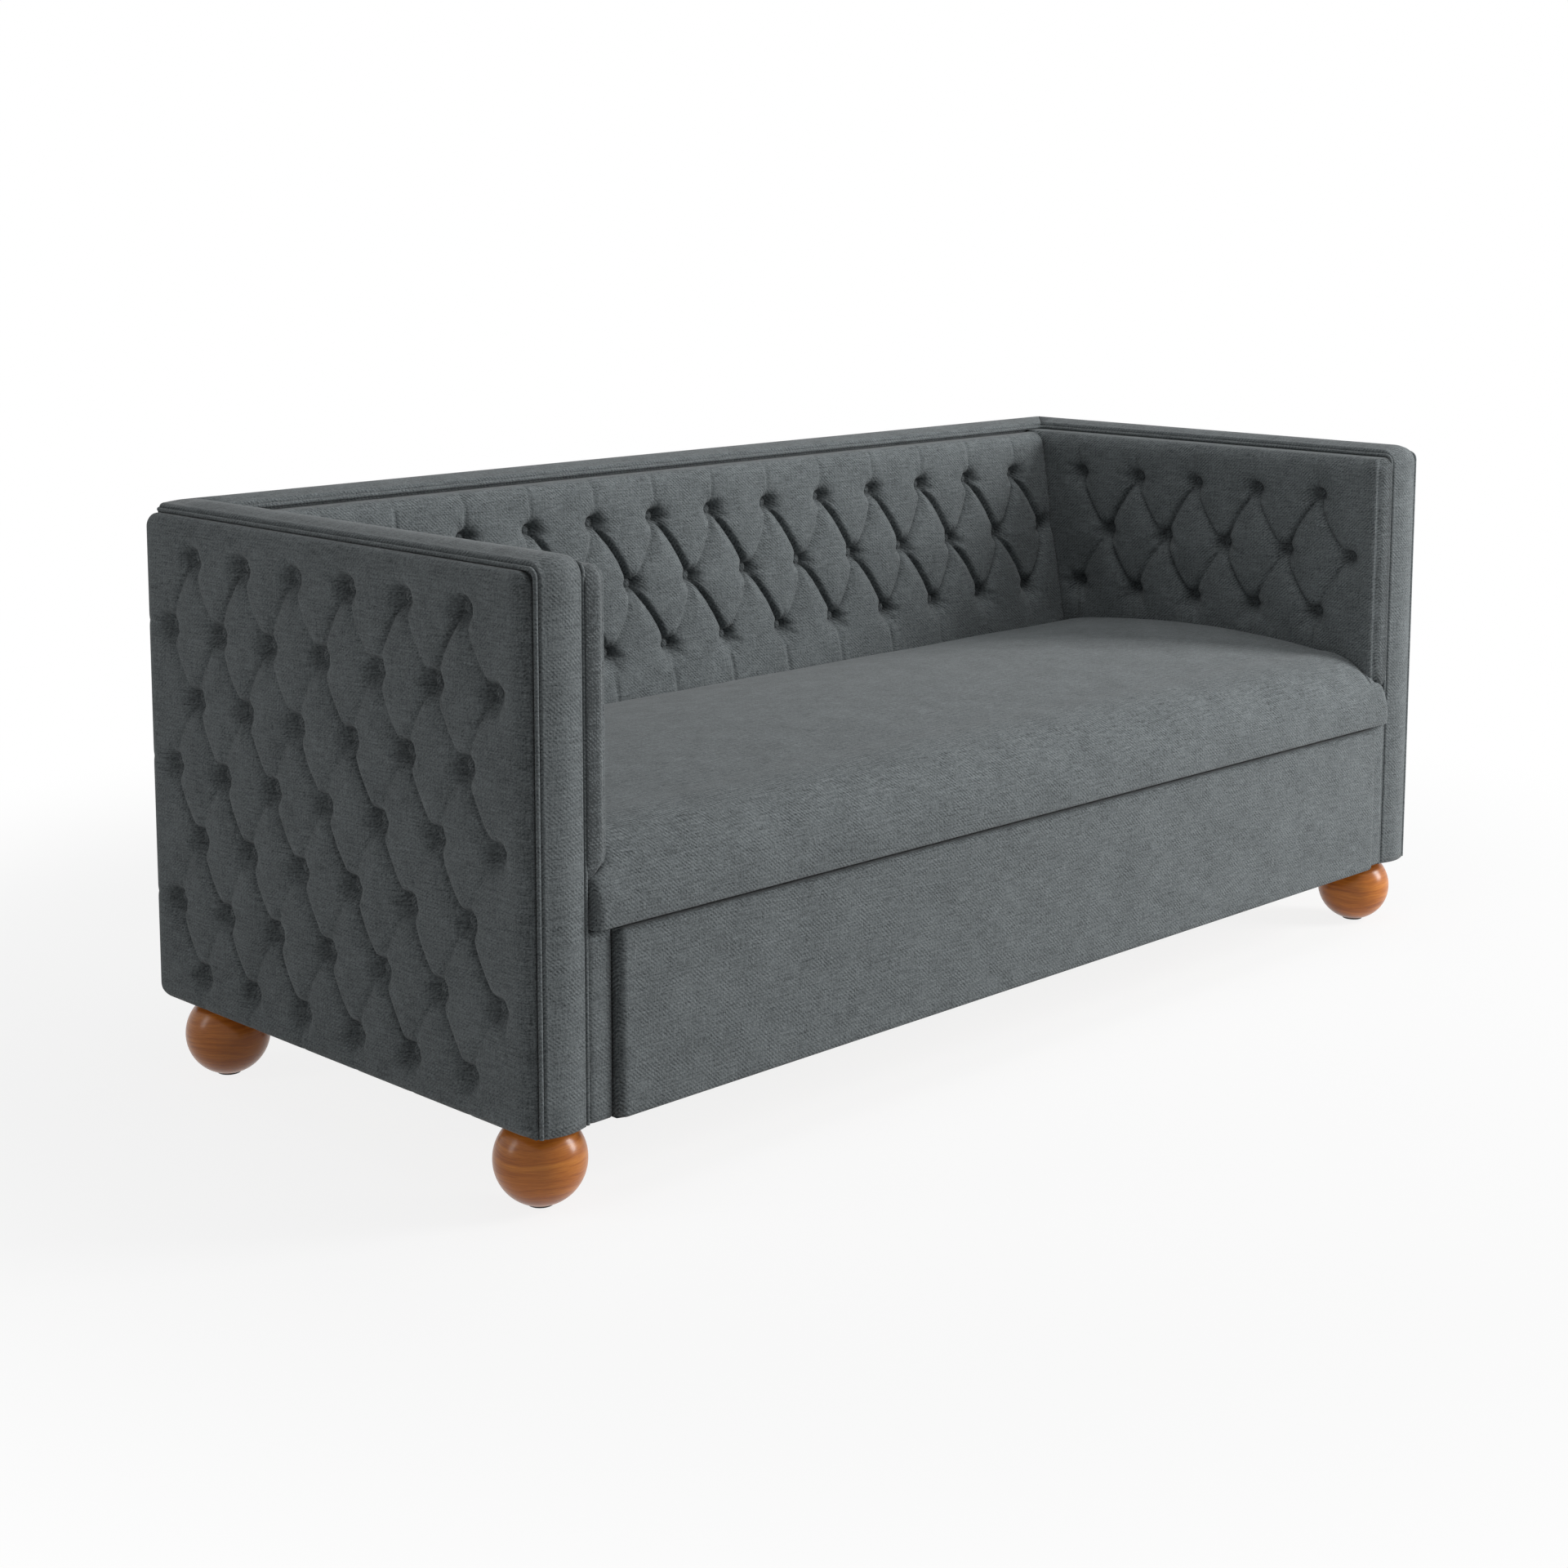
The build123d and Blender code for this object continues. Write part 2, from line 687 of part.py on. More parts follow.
# Screws from the arm rails into the seat cleats
with BuildPart() as seat_screws:
    for side in (-1, 1):
        for place in seat_screw_places:
            with Locations(Location((side * bolt_seat, place, seat_screw_level), (0, side * 90, 0))):
                Cylinder(bolt_head_radius, bolt_head_height, align=(Align.CENTER, Align.CENTER, Align.MIN))
                Cylinder(
                    seat_screw_radius,
                    bolt_seat - arm_in + cleat_width,
                    align=(Align.CENTER, Align.CENTER, Align.MAX),
                )
save(seat_screws, "seat_screws")

# Pull-out front: a board in a padded cloth cover
cover_rear = front + front_pad + trundle_board
with BuildPart() as trundle_front_cover:
    block((-front_half, front, floor_clearance), (front_half, cover_rear, front_top))
    fillet(trundle_front_cover.faces().sort_by(Axis.Y)[0].edges(), front_edge_radius)
    block(
        (-front_half + front_hem, front + front_pad, floor_clearance + front_hem),
        (front_half - front_hem, cover_rear, front_top - front_hem),
        Mode.SUBTRACT,
    )
save(trundle_front_cover, "trundle_front_cover")

with BuildPart() as trundle_front_board:
    block(
        (-front_half + front_hem + cloth_gap, front + front_pad, floor_clearance + front_hem + cloth_gap),
        (front_half - front_hem - cloth_gap, cover_rear, front_top - front_hem - cloth_gap),
    )
save(trundle_front_board, "trundle_front_board")

# Pull-out frame: sides, rear board, bearers and slats
side_foot = floor_clearance + front_hem + cloth_gap
side_top = side_foot + trundle_side_height
trundle_rear = back_in - trundle_rear_gap
for side, hand in ((-1, "left"), (1, "right")):
    with BuildPart() as trundle_side:
        block((side * side_in, cover_rear, side_foot), (side * side_out, trundle_rear, side_top))
    save(trundle_side, "trundle_" + hand + "_side")

with BuildPart() as trundle_rear_board:
    block((-side_in, trundle_rear - trundle_board, side_foot), (side_in, trundle_rear, side_top))
save(trundle_rear_board, "trundle_rear_board")

bearer_top = castor_height + bearer_height
castor_rows = (front + castor_front_row, trundle_rear - castor_rear_row)
with BuildPart() as trundle_bearers:
    for row in castor_rows:
        block((-side_in, row - bearer_width / 2, castor_height), (side_in, row + bearer_width / 2, bearer_top))
save(trundle_bearers, "trundle_bearers")

slat_top = bearer_top + slat_thickness
trundle_slat_length = trundle_rear - trundle_board - cover_rear
with BuildPart() as trundle_slats:
    with Locations((0, cover_rear + trundle_slat_length / 2, bearer_top + slat_thickness / 2)):
        with GridLocations(2 * side_in / trundle_slat_count, 1, trundle_slat_count, 1):
            Box(slat_width, trundle_slat_length, slat_thickness)
save(trundle_slats, "trundle_slats")

# Mattress of the pull-out, crowned and drawn in at its edges
mattress_half = side_in - mattress_gap
mattress_front = cover_rear + mattress_gap
mattress_rear = trundle_rear - trundle_board - mattress_gap
mattress_top = slat_top + mattress_height
with BuildPart() as trundle_mattress:
    with BuildSketch(Plane.YZ.offset(-mattress_half)):
        with BuildLine():
            Polyline(
                (mattress_rear, mattress_top),
                (mattress_rear, slat_top),
                (mattress_front, slat_top),
                (mattress_front, mattress_top),
            )
            ThreePointArc(
                (mattress_front, mattress_top),
                ((mattress_front + mattress_rear) / 2, mattress_top + mattress_crown),
                (mattress_rear, mattress_top),
            )
        make_face()
    extrude(amount=2 * mattress_half)
    fillet(trundle_mattress.edges().filter_by(Axis.Z), mattress_corner_radius)
save(trundle_mattress, "trundle_mattress")

# Fixed castors under the bearers
castor_spread = side_in - castor_inset
castor_pitch = 2 * castor_spread / (castor_count - 1)
castor_places = [
    (-castor_spread + castor_pitch * step, row)
    for row in castor_rows
    for step in range(castor_count)
]
leg_inner = wheel_width / 2 + castor_leg_gap
with BuildPart() as castor_brackets:
    with Locations(*[(x, y, castor_height - castor_plate / 2) for x, y in castor_places]):
        Box(castor_plate_length, castor_plate_width, castor_plate)
    for x, y in castor_places:
        for side in (-1, 1):
            with BuildSketch(Plane.YZ.offset(x + side * leg_inner)):
                with BuildLine():
                    half = castor_leg_width / 2
                    Polyline(
                        (y - castor_leg_radius, wheel_radius),
                        (y - half, castor_height - castor_plate),
                        (y + half, castor_height - castor_plate),
                        (y + castor_leg_radius, wheel_radius),
                    )
                    ThreePointArc(
                        (y + castor_leg_radius, wheel_radius),
                        (y, wheel_radius - castor_leg_radius),
                        (y - castor_leg_radius, wheel_radius),
                    )
                make_face()
                with Locations((y, wheel_radius)):
                    Circle(axle_radius + axle_gap, mode=Mode.SUBTRACT)
            extrude(amount=side * castor_leg)
save(castor_brackets, "castor_brackets")

axle_length = 2 * (leg_inner + castor_leg)
with BuildPart() as castor_axles:
    for x, y in castor_places:
        with Locations(Location((x, y, wheel_radius), (0, 90, 0))):
            Cylinder(axle_radius, axle_length)
        for side in (-1, 1):
            with Locations(Location((x + side * axle_length / 2, y, wheel_radius), (0, side * 90, 0))):
                Cylinder(axle_head_radius, axle_head, align=(Align.CENTER, Align.CENTER, Align.MIN))
save(castor_axles, "castor_axles")

# Wheels, each turning on its own axle
wheel_names = [
    row + "_" + place + "_wheel" for row in ("front", "rear") for place in ("left", "middle", "right")
]
for (x, y), name in zip(castor_places, wheel_names):
    with BuildPart() as wheel:
        with BuildSketch(Plane.YZ):
            Circle(wheel_radius)
            Circle(axle_radius + axle_gap, mode=Mode.SUBTRACT)
        extrude(amount=wheel_width / 2, both=True)
        fillet(wheel.edges().filter_by(GeomType.CIRCLE).group_by(SortBy.RADIUS)[-1], wheel_edge_radius)
        for side in (-1, 1):
            with BuildSketch(Plane.YZ.offset(side * wheel_width / 2)):
                Circle(wheel_radius - rim_thickness)
                Circle(hub_radius, mode=Mode.SUBTRACT)
            extrude(amount=-side * wheel_recess, mode=Mode.SUBTRACT)
    wheel.part = wheel.part.moved(Location((x, y, wheel_radius)))
    save(wheel, name)
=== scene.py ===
import json
import math

import bmesh
import bpy
import numpy as np
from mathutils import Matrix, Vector


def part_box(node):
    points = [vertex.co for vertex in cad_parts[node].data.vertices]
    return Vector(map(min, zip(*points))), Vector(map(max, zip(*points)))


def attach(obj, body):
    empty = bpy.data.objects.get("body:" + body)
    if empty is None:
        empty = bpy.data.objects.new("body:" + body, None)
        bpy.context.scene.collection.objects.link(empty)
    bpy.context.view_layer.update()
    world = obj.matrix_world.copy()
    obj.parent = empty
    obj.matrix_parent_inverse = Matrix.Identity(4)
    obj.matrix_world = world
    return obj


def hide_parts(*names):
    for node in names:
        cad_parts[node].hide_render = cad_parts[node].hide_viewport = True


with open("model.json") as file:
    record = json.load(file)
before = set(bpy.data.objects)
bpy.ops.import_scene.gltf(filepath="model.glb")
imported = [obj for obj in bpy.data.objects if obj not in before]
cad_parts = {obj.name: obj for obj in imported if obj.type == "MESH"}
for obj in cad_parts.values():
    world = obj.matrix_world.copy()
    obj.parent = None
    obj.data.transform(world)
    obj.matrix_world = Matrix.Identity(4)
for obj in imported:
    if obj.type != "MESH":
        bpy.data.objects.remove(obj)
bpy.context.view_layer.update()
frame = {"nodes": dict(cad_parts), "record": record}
scene = bpy.context.scene
print("frame loaded", len(frame["nodes"]), "nodes")


# shader maths: a socket that can be added, multiplied and so on
class Wire:
    def __init__(self, finish, socket):
        self.finish = finish
        self.socket = socket

    def combine(self, operation, first, second):
        return self.finish.node("ShaderNodeMath", {"operation": operation}, {0: first, 1: second})

    def __add__(self, other):
        return self.combine("ADD", self, other)

    def __radd__(self, other):
        return self.combine("ADD", other, self)

    def __sub__(self, other):
        return self.combine("SUBTRACT", self, other)

    def __rsub__(self, other):
        return self.combine("SUBTRACT", other, self)

    def __mul__(self, other):
        return self.combine("MULTIPLY", self, other)

    def __rmul__(self, other):
        return self.combine("MULTIPLY", other, self)


class Finish:
    def __init__(self, name):
        self.material = bpy.data.materials.new(name)
        self.material.use_nodes = True
        self.tree = self.material.node_tree
        self.tree.nodes.clear()

    # a node of any kind: settings first, then values or links by socket
    def node(self, kind, settings=None, inputs=None, output=0):
        made = self.tree.nodes.new(kind)
        for key, value in (settings or {}).items():
            if key == "stops":
                ramp = made.color_ramp
                while len(ramp.elements) < len(value):
                    ramp.elements.new(0.5)
                for element, (place, colour) in zip(ramp.elements, value):
                    element.position = place
                    element.color = (*colour, 1)
            else:
                setattr(made, key, value)
        for key, value in (inputs or {}).items():
            socket = made.inputs[key]
            if isinstance(value, Wire):
                self.tree.links.new(value.socket, socket)
            elif socket.type == "RGBA":
                socket.default_value = (*value, 1)
            else:
                socket.default_value = value
        return Wire(self, made.outputs[output]) if made.outputs else made

    def place(self, kind="Object"):
        return self.node("ShaderNodeTexCoord", output=kind)

    def blendColour(self, factor, first, second):
        sockets = {0: factor, 6: first, 7: second}
        return self.node("ShaderNodeMix", {"data_type": "RGBA"}, sockets, output=2)

    # colours set at places along a tone that runs from 0 to 1
    def ramp(self, tone, *stops):
        return self.node("ShaderNodeValToRGB", {"stops": stops}, {0: tone})

    def noise(self, vector, scale, detail=2, roughness=0.5):
        return self.node(
            "ShaderNodeTexNoise",
            None,
            {"Vector": vector, "Scale": scale, "Detail": detail, "Roughness": roughness},
        )

    def stretch(self, vector, scale, turn=0):
        return self.node(
            "ShaderNodeMapping", None, {"Vector": vector, "Scale": scale, "Rotation": (0, 0, turn)}
        )

    # even lines across a turned direction, put off course by a drift
    def wave(self, vector, period, turn, drift=0.0):
        across = self.stretch(vector, (1 / period, 1 / period, 1), turn)
        step = self.node("ShaderNodeSeparateXYZ", None, {0: across})
        swing = self.node("ShaderNodeMath", {"operation": "SINE"}, {0: (step + drift) * (2 * math.pi)})
        return swing * 0.5 + 0.5

    def bump(self, height, strength, distance):
        return self.node(
            "ShaderNodeBump", None, {"Height": height, "Strength": strength, "Distance": distance}
        )

    def surface(self, **values):
        inputs = {key.replace("_", " "): value for key, value in values.items()}
        shader = self.node("ShaderNodeBsdfPrincipled", None, inputs)
        self.node("ShaderNodeOutputMaterial", None, {"Surface": shader})
        return self.material


# slate cloth: scales are per metre along its UV map, weights say how much each layer shows in the tone
clothLook = dict(
    dark=(0.046, 0.052, 0.0545),
    light=(0.218, 0.242, 0.249),
    twill=0.0045,
    slant=-47,
    knot=0.0056,
    ribs=0.8,
    ribPatch=(1.6, 0.95),
    ribKnot=(0.9, 0.55),
    driftScale=60,
    drift=(1.4, 0.9),
    patchScale=(210, 90, 1),
    clusterScale=38,
    acrossScale=(30, 420, 1),
    alongScale=(460, 34, 1),
    speckScale=430,
    fleckScale=165,
    cloudScale=14,
    across=1.00,
    along=0.75,
    speck=1.50,
    fleck=0.70,
    cloud=0.34,
    shade=0.30,
    slubBump=0.5,
    bump=(0.35, 0.0006),
    roughness=0.95,
    sheen=(0.12, 0.5),
    shine=0.12,
)
endClothLook = dict(clothLook, ribs=0.35)


def makeCloth(name, look):
    cloth = Finish(name)
    flat = cloth.node("ShaderNodeUVMap", {"uv_map": "cloth"})
    turn = math.radians(look["slant"])
    drift = cloth.noise(flat, look["driftScale"])
    patch = cloth.noise(cloth.stretch(flat, look["patchScale"], turn), 1, 2, 0.6)
    cluster = cloth.noise(flat, look["clusterScale"])
    knot = cloth.wave(flat, look["knot"], turn + math.pi / 2, (drift - 0.5) * look["drift"][0])
    rib = cloth.wave(flat, look["twill"], turn, (drift - 0.5) * look["drift"][1])
    # the ribs come and go in patches and break up into knots
    ribPatch = patch + cluster * look["ribPatch"][0] - look["ribPatch"][1]
    ribShow = ribPatch * (knot * look["ribKnot"][0] + look["ribKnot"][1]) * look["ribs"]
    slubAcross = cloth.noise(cloth.stretch(flat, look["acrossScale"]), 1, 3, 0.6)
    slubAlong = cloth.noise(cloth.stretch(flat, look["alongScale"]), 1, 3, 0.6)
    speck = cloth.noise(flat, look["speckScale"], 2, 0.7)
    fleck = cloth.noise(flat, look["fleckScale"], 3, 0.65)
    cloud = cloth.noise(flat, look["cloudScale"])
    # painted shade: each point's attribute darkens the cloth colour in the tuft pockets, along sharp folds
    # and along some edges, standing in for the shade there
    dip = cloth.node("ShaderNodeAttribute", {"attribute_name": "dip"}, output="Fac")
    tone = (
        0.5
        + (rib - 0.5) * ribShow
        + (slubAcross - 0.5) * look["across"]
        + (slubAlong - 0.5) * look["along"]
        + (speck - 0.5) * look["speck"]
        + (fleck - 0.5) * look["fleck"]
        + (cloud - 0.5) * look["cloud"]
        - dip * look["shade"]
    )
    relief = rib * ribShow + slubAcross * look["slubBump"] + slubAlong * look["slubBump"]
    return cloth.surface(
        Base_Color=cloth.ramp(tone, (0.0, look["dark"]), (1.0, look["light"])),
        Roughness=look["roughness"],
        Normal=cloth.bump(relief, *look["bump"]),
        Sheen_Weight=look["sheen"][0],
        Sheen_Roughness=look["sheen"][1],
        Specular_IOR_Level=look["shine"],
    )


# turned wood of the feet, with its grain lying level
ballLook = dict(
    dark=(0.310, 0.080, 0.010),
    mid=(0.500, 0.153, 0.020),
    light=(0.670, 0.245, 0.038),
    wanderScale=(9, 9, 14),
    wander=3.2,
    grainScale=(6, 6, 120),
    grain=0.78,
    poreScale=(70, 70, 1100),
    pores=0.22,
    roughness=(0.34, 0.10),
    bump=(0.06, 0.0003),
    coat=(0.50, 0.22),
    shine=0.10,
)


def makeBallWood(look):
    wood = Finish("turnedWood")
    spot = wood.place()
    wander = wood.noise(wood.stretch(spot, look["wanderScale"]), 1)
    offset = wood.node("ShaderNodeCombineXYZ", None, {2: wander * look["wander"]})
    level = wood.stretch(spot, look["grainScale"])
    bent = wood.node("ShaderNodeVectorMath", {"operation": "ADD"}, {0: level, 1: offset})
    grain = wood.noise(bent, 1, 5, 0.68)
    pores = wood.noise(wood.stretch(spot, look["poreScale"]), 1, 2, 0.6)
    tone = grain * look["grain"] + pores * look["pores"]
    return wood.surface(
        Base_Color=wood.ramp(tone, (0.33, look["dark"]), (0.50, look["mid"]), (0.67, look["light"])),
        Roughness=look["roughness"][0] + pores * look["roughness"][1],
        Normal=wood.bump(pores, *look["bump"]),
        Coat_Weight=look["coat"][0],
        Coat_Roughness=look["coat"][1],
        Specular_IOR_Level=look["shine"],
    )


# bare timber and boards, with the long grain where the scale along an axis is small
timberLook = dict(fine=6, rings=0.8, fleck=0.2, dull=0.15, bump=(0.25, 0.0006))
softwoodLook = dict(
    timberLook, dark=(0.36, 0.23, 0.11), light=(0.58, 0.42, 0.24), along=(4, 60, 60), roughness=0.6
)
plywoodLook = dict(
    timberLook, dark=(0.46, 0.32, 0.19), light=(0.64, 0.48, 0.30), along=(3, 60, 60), roughness=0.55
)
sidePlywoodLook = dict(plywoodLook, along=(60, 3, 60))


def makeTimber(name, look):
    timber = Finish(name)
    spot = timber.place()
    rings = timber.noise(timber.stretch(spot, look["along"]), 1, 4, 0.6)
    fine = tuple(look["fine"] * step for step in look["along"])
    fleck = timber.noise(timber.stretch(spot, fine), 1)
    tone = rings * look["rings"] + fleck * look["fleck"]
    return timber.surface(
        Base_Color=timber.ramp(tone, (0.32, look["dark"]), (0.68, look["light"])),
        Roughness=look["roughness"] + fleck * look["dull"],
        Normal=timber.bump(fleck, *look["bump"]),
    )


# metal and moulded parts with a faint mottle
zincLook = dict(dark=(0.42, 0.43, 0.45), light=(0.60, 0.61, 0.62), scale=120, roughness=0.3, metallic=1.0)
mouldedLook = dict(scale=300, metallic=0.0)
nylonLook = dict(mouldedLook, dark=(0.014, 0.014, 0.015), light=(0.030, 0.030, 0.032), roughness=0.42)
glideLook = dict(mouldedLook, dark=(0.020, 0.016, 0.013), light=(0.035, 0.028, 0.022), roughness=0.5)
mottleLook = dict(dull=0.12, bump=(0.2, 0.0003))


def makePlain(name, look):
    plain = Finish(name)
    mottle = plain.noise(plain.place(), look["scale"], 3, 0.55)
    return plain.surface(
        Base_Color=plain.ramp(mottle, (0.35, look["dark"]), (0.65, look["light"])),
        Roughness=look["roughness"] + mottle * mottleLook["dull"],
        Metallic=look["metallic"],
        Normal=plain.bump(mottle, *mottleLook["bump"]),
    )


# pale ticking with thin stripes
tickingLook = dict(
    dark=(0.50, 0.47, 0.41),
    light=(0.66, 0.63, 0.57),
    stripe=(0.20, 0.23, 0.27),
    spacing=0.062,
    narrow=0.97,
    strength=0.6,
    threadScale=(900, 120, 1),
    bump=(0.4, 0.0005),
    roughness=0.9,
    sheen=0.15,
)


def makeTicking(look):
    ticking = Finish("mattressTicking")
    flat = ticking.node("ShaderNodeUVMap", {"uv_map": "cloth"})
    stripe = ticking.wave(flat, look["spacing"], 0)
    line = ticking.node("ShaderNodeMath", {"operation": "GREATER_THAN"}, {0: stripe, 1: look["narrow"]})
    threads = ticking.noise(ticking.stretch(flat, look["threadScale"]), 1)
    ground = ticking.ramp(threads, (0.3, look["dark"]), (0.7, look["light"]))
    return ticking.surface(
        Base_Color=ticking.blendColour(line * look["strength"], ground, look["stripe"]),
        Roughness=look["roughness"],
        Normal=ticking.bump(threads, *look["bump"]),
        Sheen_Weight=look["sheen"],
    )


cloth = makeCloth("slateCloth", clothLook)
endCloth = makeCloth("slateEndCloth", endClothLook)
turnedWood = makeBallWood(ballLook)
softwood = makeTimber("bareSoftwood", softwoodLook)
plywood = makeTimber("barePlywood", plywoodLook)
sidePlywood = makeTimber("sidePlywood", sidePlywoodLook)
zinc = makePlain("zincPlate", zincLook)
nylon = makePlain("blackNylon", nylonLook)
glide = makePlain("darkGlide", glideLook)
ticking = makeTicking(tickingLook)
print("finishes made")


clothGap = 0.0004  # room between a dressed piece and the board or slats it lies on


# a mesh piece at the origin, with cloth coordinates in metres laid on by its main directions
def makePiece(name, points, faces, material, body, nodes, **details):
    mesh = bpy.data.meshes.new(name)
    mesh.from_pydata([tuple(p) for p in points], [], faces)
    mesh.validate()
    finishPiece(name, mesh, material, body, nodes, **details)


# flat names the axis the cloth lies across, and the painted shade says how far each point's cloth is darkened
# to stand in for shade
def finishPiece(name, mesh, material, body, nodes, slot="upholstery", fill=None, flat=None, dips=None):
    if dips is not None:
        deep = np.broadcast_to(np.asarray(dips, np.float32), len(mesh.vertices))
        mesh.attributes.new("dip", "FLOAT", "POINT").data.foreach_set("value", np.ascontiguousarray(deep))
    while mesh.uv_layers:
        mesh.uv_layers.remove(mesh.uv_layers[0])
    work = bmesh.new()
    work.from_mesh(mesh)
    bmesh.ops.recalc_face_normals(work, faces=work.faces)
    layer = work.loops.layers.uv.new("cloth")
    for face in work.faces:
        face.smooth = True
        face.material_index = 0
        normal = face.normal
        axis = flat
        if flat is None or abs(normal[flat]) < 0.5:
            axis = max(range(3), key=lambda i: abs(normal[i]))
        pick = ((1, 2), (0, 2), (0, 1))[axis]
        for loop in face.loops:
            loop[layer].uv = (loop.vert.co[pick[0]], loop.vert.co[pick[1]])
    work.to_mesh(mesh)
    work.free()
    mesh.materials.clear()
    mesh.materials.append(material)
    made = bpy.data.objects.new(name, mesh)
    scene.collection.objects.link(made)
    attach(made, body)
    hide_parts(*nodes)


# steps across a padded face: close together over each rolled edge and even between; a roll is (width, drop)
def edgeSteps(length, step, low, high, arc=8):
    bends = [1 - math.cos(math.pi / 2 * i / arc) for i in range(arc)]
    start = [low[0] * bend for bend in bends] if low[0] else [0.0]
    end = [length - high[0] * bend for bend in bends] if high[0] else [length]
    count = max(2, round((length - low[0] - high[0]) / step))
    middle = [low[0] + (length - low[0] - high[0]) * i / count for i in range(count + 1)]
    if not low[0]:
        middle = middle[1:]
    if not high[0]:
        middle = middle[:-1]
    return np.array(start + middle + end[::-1])


def edgeReach(places, length, low, high):
    reach = np.zeros_like(places)
    drop = np.zeros_like(places)
    for (width, fall), away in ((low, places), (high, length - places)):
        if width:
            share = np.clip(1 - away / width, 0, 1)
            reach = np.maximum(reach, share)
            drop = np.where(share > 0, fall, drop)
    return reach, drop


# a closed padded sheet: a face grid with rolled edges, its walls and a flat back
def padMesh(size, step, rolls, relief, spot, wall, corners=()):
    us = edgeSteps(size[0], step, rolls[0], rolls[1])
    vs = edgeSteps(size[1], step, rolls[2], rolls[3])
    u, v = np.meshgrid(us, vs, indexing="ij")
    reachU, dropU = edgeReach(u, size[0], rolls[0], rolls[1])
    reachV, dropV = edgeReach(v, size[1], rolls[2], rolls[3])
    for farU, farV in corners:
        here = ((u > size[0] / 2) == farU) & ((v > size[1] / 2) == farV)
        roundU = np.where(here, reachU * np.sqrt(1 - reachV**2 / 2), reachU)
        roundV = np.where(here, reachV * np.sqrt(1 - reachU**2 / 2), reachV)
        u = u + (reachU - roundU) * (-rolls[1][0] if farU else rolls[0][0])
        v = v + (reachV - roundV) * (-rolls[3][0] if farV else rolls[2][0])
        reachU, reachV = roundU, roundV
    both = reachU**2 + reachV**2
    depth = np.where(both > 0, (reachU**2 * dropU + reachV**2 * dropV) / np.maximum(both, 1e-9), 0)
    drop = depth * (1 - np.sqrt(np.maximum(1 - both, 0)))
    du, dv, rise, dark = relief(u, v)
    points = spot(u + du, v + dv, rise - drop).reshape(-1, 3)
    nu, nv = len(us), len(vs)
    index = np.arange(nu * nv).reshape(nu, nv)
    quads = np.stack([index[:-1, :-1], index[1:, :-1], index[1:, 1:], index[:-1, 1:]], -1)
    faces = quads.reshape(-1, 4).tolist()
    rim = np.concatenate([index[:, 0], index[-1, 1:], index[-2::-1, -1], index[0, -2:0:-1]])
    rings = wall(points[rim])
    count = len(rim)
    last = [int(i) for i in rim]
    for number in range(len(rings)):
        ring = [nu * nv + number * count + i for i in range(count)]
        for i in range(count):
            j = (i + 1) % count
            faces.append([last[j], last[i], ring[i], ring[j]])
        last = ring
    faces.append(last)
    # painted shade from the relief, carried down the walls from the rim
    dark = dark.ravel()
    dips = np.concatenate([dark] + [dark[rim]] * len(rings))
    return np.vstack([points] + rings), faces, dips


# a wall that runs straight back to a plane across one axis
def straightWall(axis, plane):
    def wall(rim):
        back = rim.copy()
        back[:, axis] = plane
        return [back]

    return wall


# rows of buttons on a padded face, and the pleats that join them
def buttonRows(counts, pitch, rowPitch, center, top, shift=()):
    rows = []
    for index, count in enumerate(counts):
        start = center - pitch * (count - 1) / 2 + (shift[index] if shift else 0)
        rows.append([(start + pitch * i, top - rowPitch * index) for i in range(count)])
    return rows


def pleatLines(rows, pitch, slip=0.001):
    lines = []
    for upper, lower in zip(rows, rows[1:]):
        for a in upper:
            for b in lower:
                if abs(abs(a[0] - b[0]) - pitch / 2) < slip:
                    lines.append((a, b))
    return lines


def smoothNoise(u, v, scale, seed, octaves=3, waves=5):
    draw = np.random.default_rng(seed)
    total = np.zeros_like(u)
    for octave in range(octaves):
        for _ in range(waves):
            angle = draw.uniform(0, 2 * math.pi)
            phase = draw.uniform(0, 2 * math.pi)
            turn = 2**octave / scale * draw.uniform(0.7, 1.3)
            wave = np.sin(2 * math.pi * turn * (u * math.cos(angle) + v * math.sin(angle)) + phase)
            total += wave * 0.5**octave
    return total / waves


# what all the tufting shares: how pleats stray, how they deepen toward the buttons and where they fade
pleatLook = dict(
    wobbleScale=0.11,
    wobble=0.0016,
    rippleScale=0.035,
    ripple=0.0005,
    hemWobble=0.002,
    hemFade=0.6,
    deepen=2.2,
    foldCap=1.3,
    foldFade=0.4,
    swellCurve=1.6,
    shadeCurve=1.7,
    gathers=(7, 12),
    sinks=(0.92, 1.04),
    slack=0.0005,
    puckerWidth=0.013,
)
farOff = 9.0  # further than any two points of a pad


